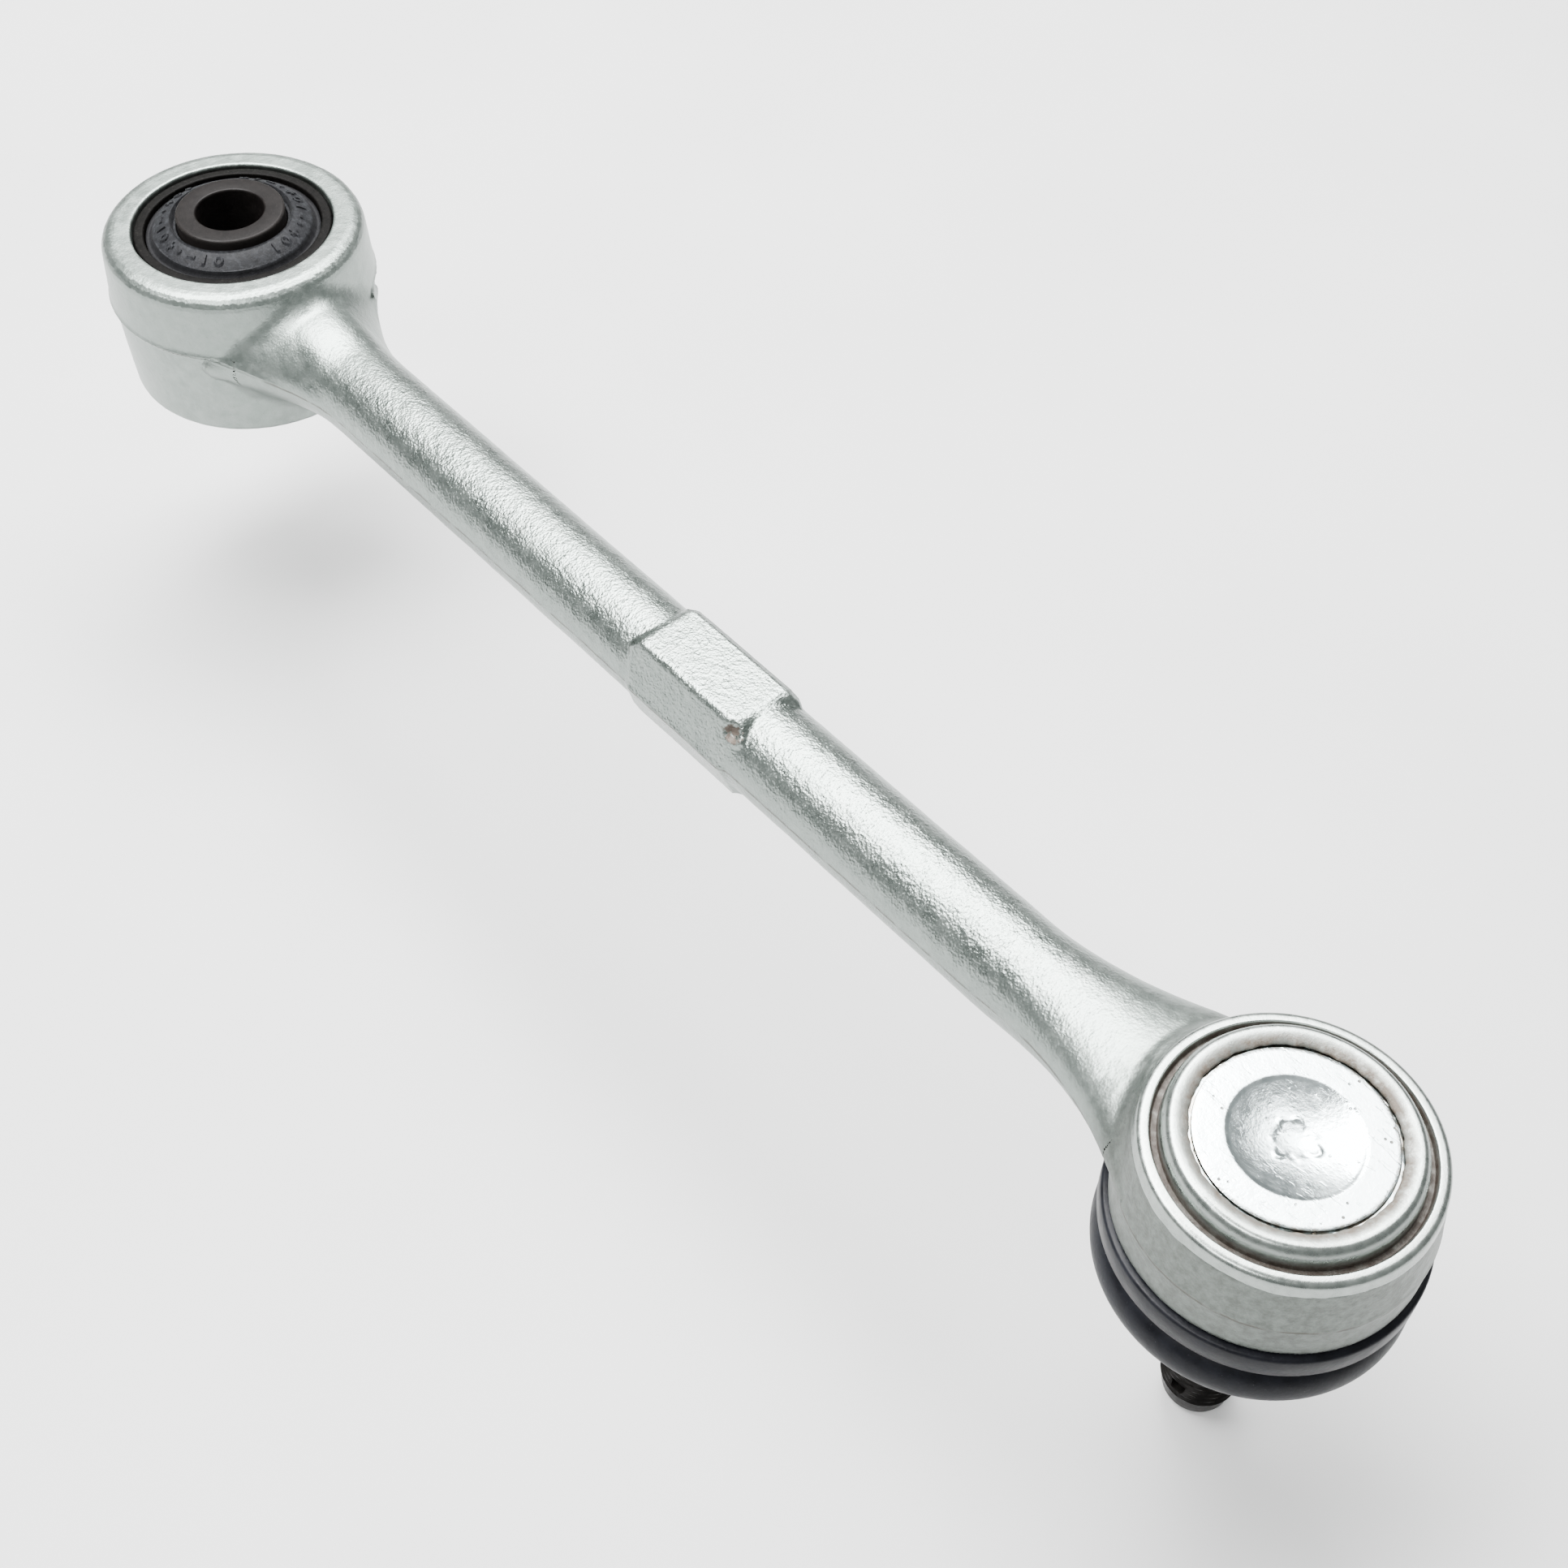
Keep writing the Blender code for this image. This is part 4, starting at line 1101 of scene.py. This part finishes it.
def phosphated_steel():
    """Inner tube: machined, then dark phosphate, worn on its face."""
    look = Look("phosphated_steel")
    radius = look.radius(0.0)
    clouds = look.noise(2.0, 4.0, 0.62)
    rings = look.add("TexWave", wave_type="RINGS", rings_direction="Z")
    look.put(rings.inputs["Vector"], look.place)
    rings.inputs["Scale"].default_value = 1.1
    rings.inputs["Distortion"].default_value = 0.4
    base = look.two_tone(clouds, (0.0026, 0.0021, 0.0020), (0.0054, 0.0044, 0.0042))
    base = look.mix(look.share(radius, 10.6, 11.2, 0.0, 0.25), base, (0.018, 0.016, 0.015))
    base = look.spots(base, (0.013, 0.011, 0.010), 0.4, 0.6, 3.0, 0.60, 0.72)
    look.raise_by(rings.outputs["Fac"], 0.008)
    look.roughen(0.02, 0.45, 3.0)
    return look.done(base, 0.0, look.spread(clouds, 0.38, 0.50), Specular_IOR_Level=0.08)


def stud_steel():
    """Turned and rolled stud: near-black steel with an oil film, and a polished ball."""
    look = Look("stud_steel")
    height = look.part("Z")
    clouds = look.noise(2.4, 4.0, 0.6)
    turning = look.noise(0.35, 2.0, 0.5, look.stretched(0.05, 0.05, 1.0))
    base = look.two_tone(clouds, (0.003, 0.0027, 0.0025), (0.009, 0.0082, 0.0074))
    polished = look.share(height, -17.0, -14.0)
    base = look.mix(polished, base, (0.62, 0.61, 0.59))
    base = look.spots(base, (0.008, 0.007, 0.006), 0.6, 0.8, 4.0, 0.58, 0.68)
    look.raise_by(turning, 0.02)
    look.roughen(0.015, 0.5, 3.0)
    rough = look.math("ADD", look.spread(clouds, 0.28, 0.42), look.times(polished, -0.18))
    return look.done(base, look.share(polished, 0.0, 1.0, 0.2, 1.0), rough, Specular_IOR_Level=0.1)


def ring_steel():
    look = Look("ring_steel")
    clouds = look.noise(1.5, 4.0, 0.6)
    base = look.two_tone(clouds, (0.26, 0.26, 0.245), (0.40, 0.40, 0.375))
    base = look.spots(base, (0.20, 0.17, 0.14), 0.6, 0.7, 3.0, 0.6, 0.7)
    look.raise_by(look.noise(0.25, 2.0, 0.5, look.stretched(1.0, 1.0, 4.0)), 0.01)
    return look.done(base, 1.0, look.spread(clouds, 0.28, 0.40))


def bush_rubber():
    """Moulded rubber, greyed by release powder on its face."""
    look = Look("bush_rubber")
    height = look.math("ABSOLUTE", look.part("Z"))
    clouds = look.noise(1.6, 5.0, 0.65)
    dust = look.times(look.share(height, 16.4, 16.9), look.share(clouds, 0.35, 0.65, 0.25, 1.0))
    raised = look.share(look.noise(0.9, 3.0), 0.5, 0.62)
    base = look.two_tone(clouds, (0.003, 0.003, 0.0035), (0.007, 0.007, 0.008))
    base = look.mix(look.times(dust, 0.7), base, (0.0105, 0.011, 0.0125))
    base = look.mix(look.times(raised, dust, 0.5), base, (0.024, 0.025, 0.028))
    look.roughen(0.05, 0.3, 4.0, 0.6)
    look.roughen(0.06, 1.2, 3.0, 0.6)
    rough = look.spread(clouds, 0.42, 0.62)
    return look.done(base, 0.0, rough, Specular_IOR_Level=0.08, Sheen_Weight=0.02)


def boot_rubber():
    """Smooth moulded boot rubber: black with a cold sheen, faint dust and grease."""
    look = Look("boot_rubber")
    clouds = look.noise(4.0, 5.0, 0.62)
    base = look.two_tone(clouds, (0.0025, 0.0027, 0.0042), (0.006, 0.0066, 0.0095), 0.35, 0.65)
    specks = look.share(look.noise(0.5, 4.0, 0.7), 0.66, 0.74)
    base = look.mix(look.times(specks, 0.35), base, (0.12, 0.12, 0.13))
    look.roughen(0.02, 0.6, 3.0)
    look.roughen(0.10, 3.0, 3.0)
    return look.done(base, 0.0, look.spread(clouds, 0.34, 0.48), Specular_IOR_Level=0.14)


def acetal():
    """The two ball seats: natural white acetal with faint mould flow and grease."""
    look = Look("acetal")
    clouds = look.noise(5.0, 4.0, 0.6)
    base = look.two_tone(clouds, (0.72, 0.70, 0.64), (0.82, 0.80, 0.75))
    base = look.spots(base, (0.45, 0.33, 0.15), 0.6, 2.0, 4.0, 0.55, 0.65)
    look.roughen(0.02, 0.8, 3.0)
    return look.done(base, 0.0, look.spread(clouds, 0.30, 0.45), Subsurface_Weight=0.05)


# ---- stage, light, camera


def pale_floor():
    look = Look("pale_floor")
    clouds = look.noise(90.0, 3.0, 0.5)
    base = look.two_tone(clouds, (0.47, 0.47, 0.47), (0.50, 0.50, 0.50))
    look.roughen(0.01, 1.2, 3.0)
    look.put(look.shader.inputs["Emission Color"], (1.0, 1.0, 1.0))
    look.put(look.shader.inputs["Emission Strength"], 0.15)
    return look.done(base, 0.0, 0.75, Specular_IOR_Level=0.2)


def make_stage():
    size = 3.0
    level = stud_low.z - 1.0 * MM
    floor = mesh_object(
        "floor",
        [(-size, -size, level), (size, -size, level), (size, size, level), (-size, size, level)],
        [(0, 1, 2, 3)],
    )
    floor.data.materials.append(pale_floor())


def area_light(name, place, aim, size, radiance):
    light = bpy.data.lights.new(name, "AREA")
    light.shape = "RECTANGLE"
    light.size, light.size_y = size
    light.energy = radiance * math.pi * size[0] * size[1]
    obj = new_object(name, light)
    obj.location = place
    obj.rotation_euler = (Vector(place) - Vector(aim)).to_track_quat("Z", "Y").to_euler()


def make_light():
    world = bpy.data.worlds.new("studio")
    world.use_nodes = True
    tree = world.node_tree
    shade = tree.nodes["Background"]
    place = tree.nodes.new("ShaderNodeTexCoord")
    split = tree.nodes.new("ShaderNodeSeparateXYZ")
    ramp = tree.nodes.new("ShaderNodeMapRange")
    tree.links.new(place.outputs["Generated"], split.inputs[0])
    tree.links.new(split.outputs["Z"], ramp.inputs["Value"])
    tree.links.new(ramp.outputs["Result"], shade.inputs["Strength"])
    for key, value in (("From Min", 0.0), ("From Max", 0.9), ("To Min", 0.42), ("To Max", 0.7)):
        ramp.inputs[key].default_value = value
    shade.inputs["Color"].default_value = (0.93, 0.97, 0.96, 1)
    bpy.context.scene.world = world
    area_light("key", (0.10, 0.48, 0.84), (0.29, 0.0, 0.0), (0.36, 0.36), 20.0)
    area_light("overhead", (-0.25, -0.02, 1.0), (0.1, -0.02, 0.0), (1.3, 0.50), 42.0)
    area_light("front", (0.36, -0.62, 0.95), (0.05, 0.0, 0.0), (0.4, 0.25), 26.0)
    area_light("back", (-0.75, 0.60, 0.95), (0.05, 0.0, 0.0), (1.1, 0.75), 3.2)


def make_camera():
    camera = bpy.data.cameras.new("camera")
    camera.lens = 48.03
    camera.sensor_width = 36.0
    obj = new_object("camera", camera)
    right = Vector((0.6600, 0.7509, 0.0235)).normalized()
    forward = Vector((-0.4686, 0.4359, -0.7683))
    forward = (forward - right * right.dot(forward)).normalized()
    up = right.cross(forward)
    turn = Matrix((right, up, -forward)).transposed().to_4x4()
    obj.matrix_world = Matrix.Translation((0.35362, -0.16398, 0.28362)) @ turn
    bpy.context.scene.camera = obj


def main():
    make_forging(zinc_plate())
    make_lip(rolled_zinc())
    make_cover(cover_steel())
    make_bush(sleeve_steel(), bush_rubber(), phosphated_steel())
    make_stud(stud_steel())
    make_boot(boot_rubber())
    make_rings(ring_steel())
    seats = acetal()
    for name in ("race_lower", "race_upper"):
        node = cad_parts[name]
        for index in range(len(node.material_slots)):
            node.material_slots[index].link = "OBJECT"
            node.material_slots[index].material = seats
    make_stage()
    make_light()
    make_camera()


main()
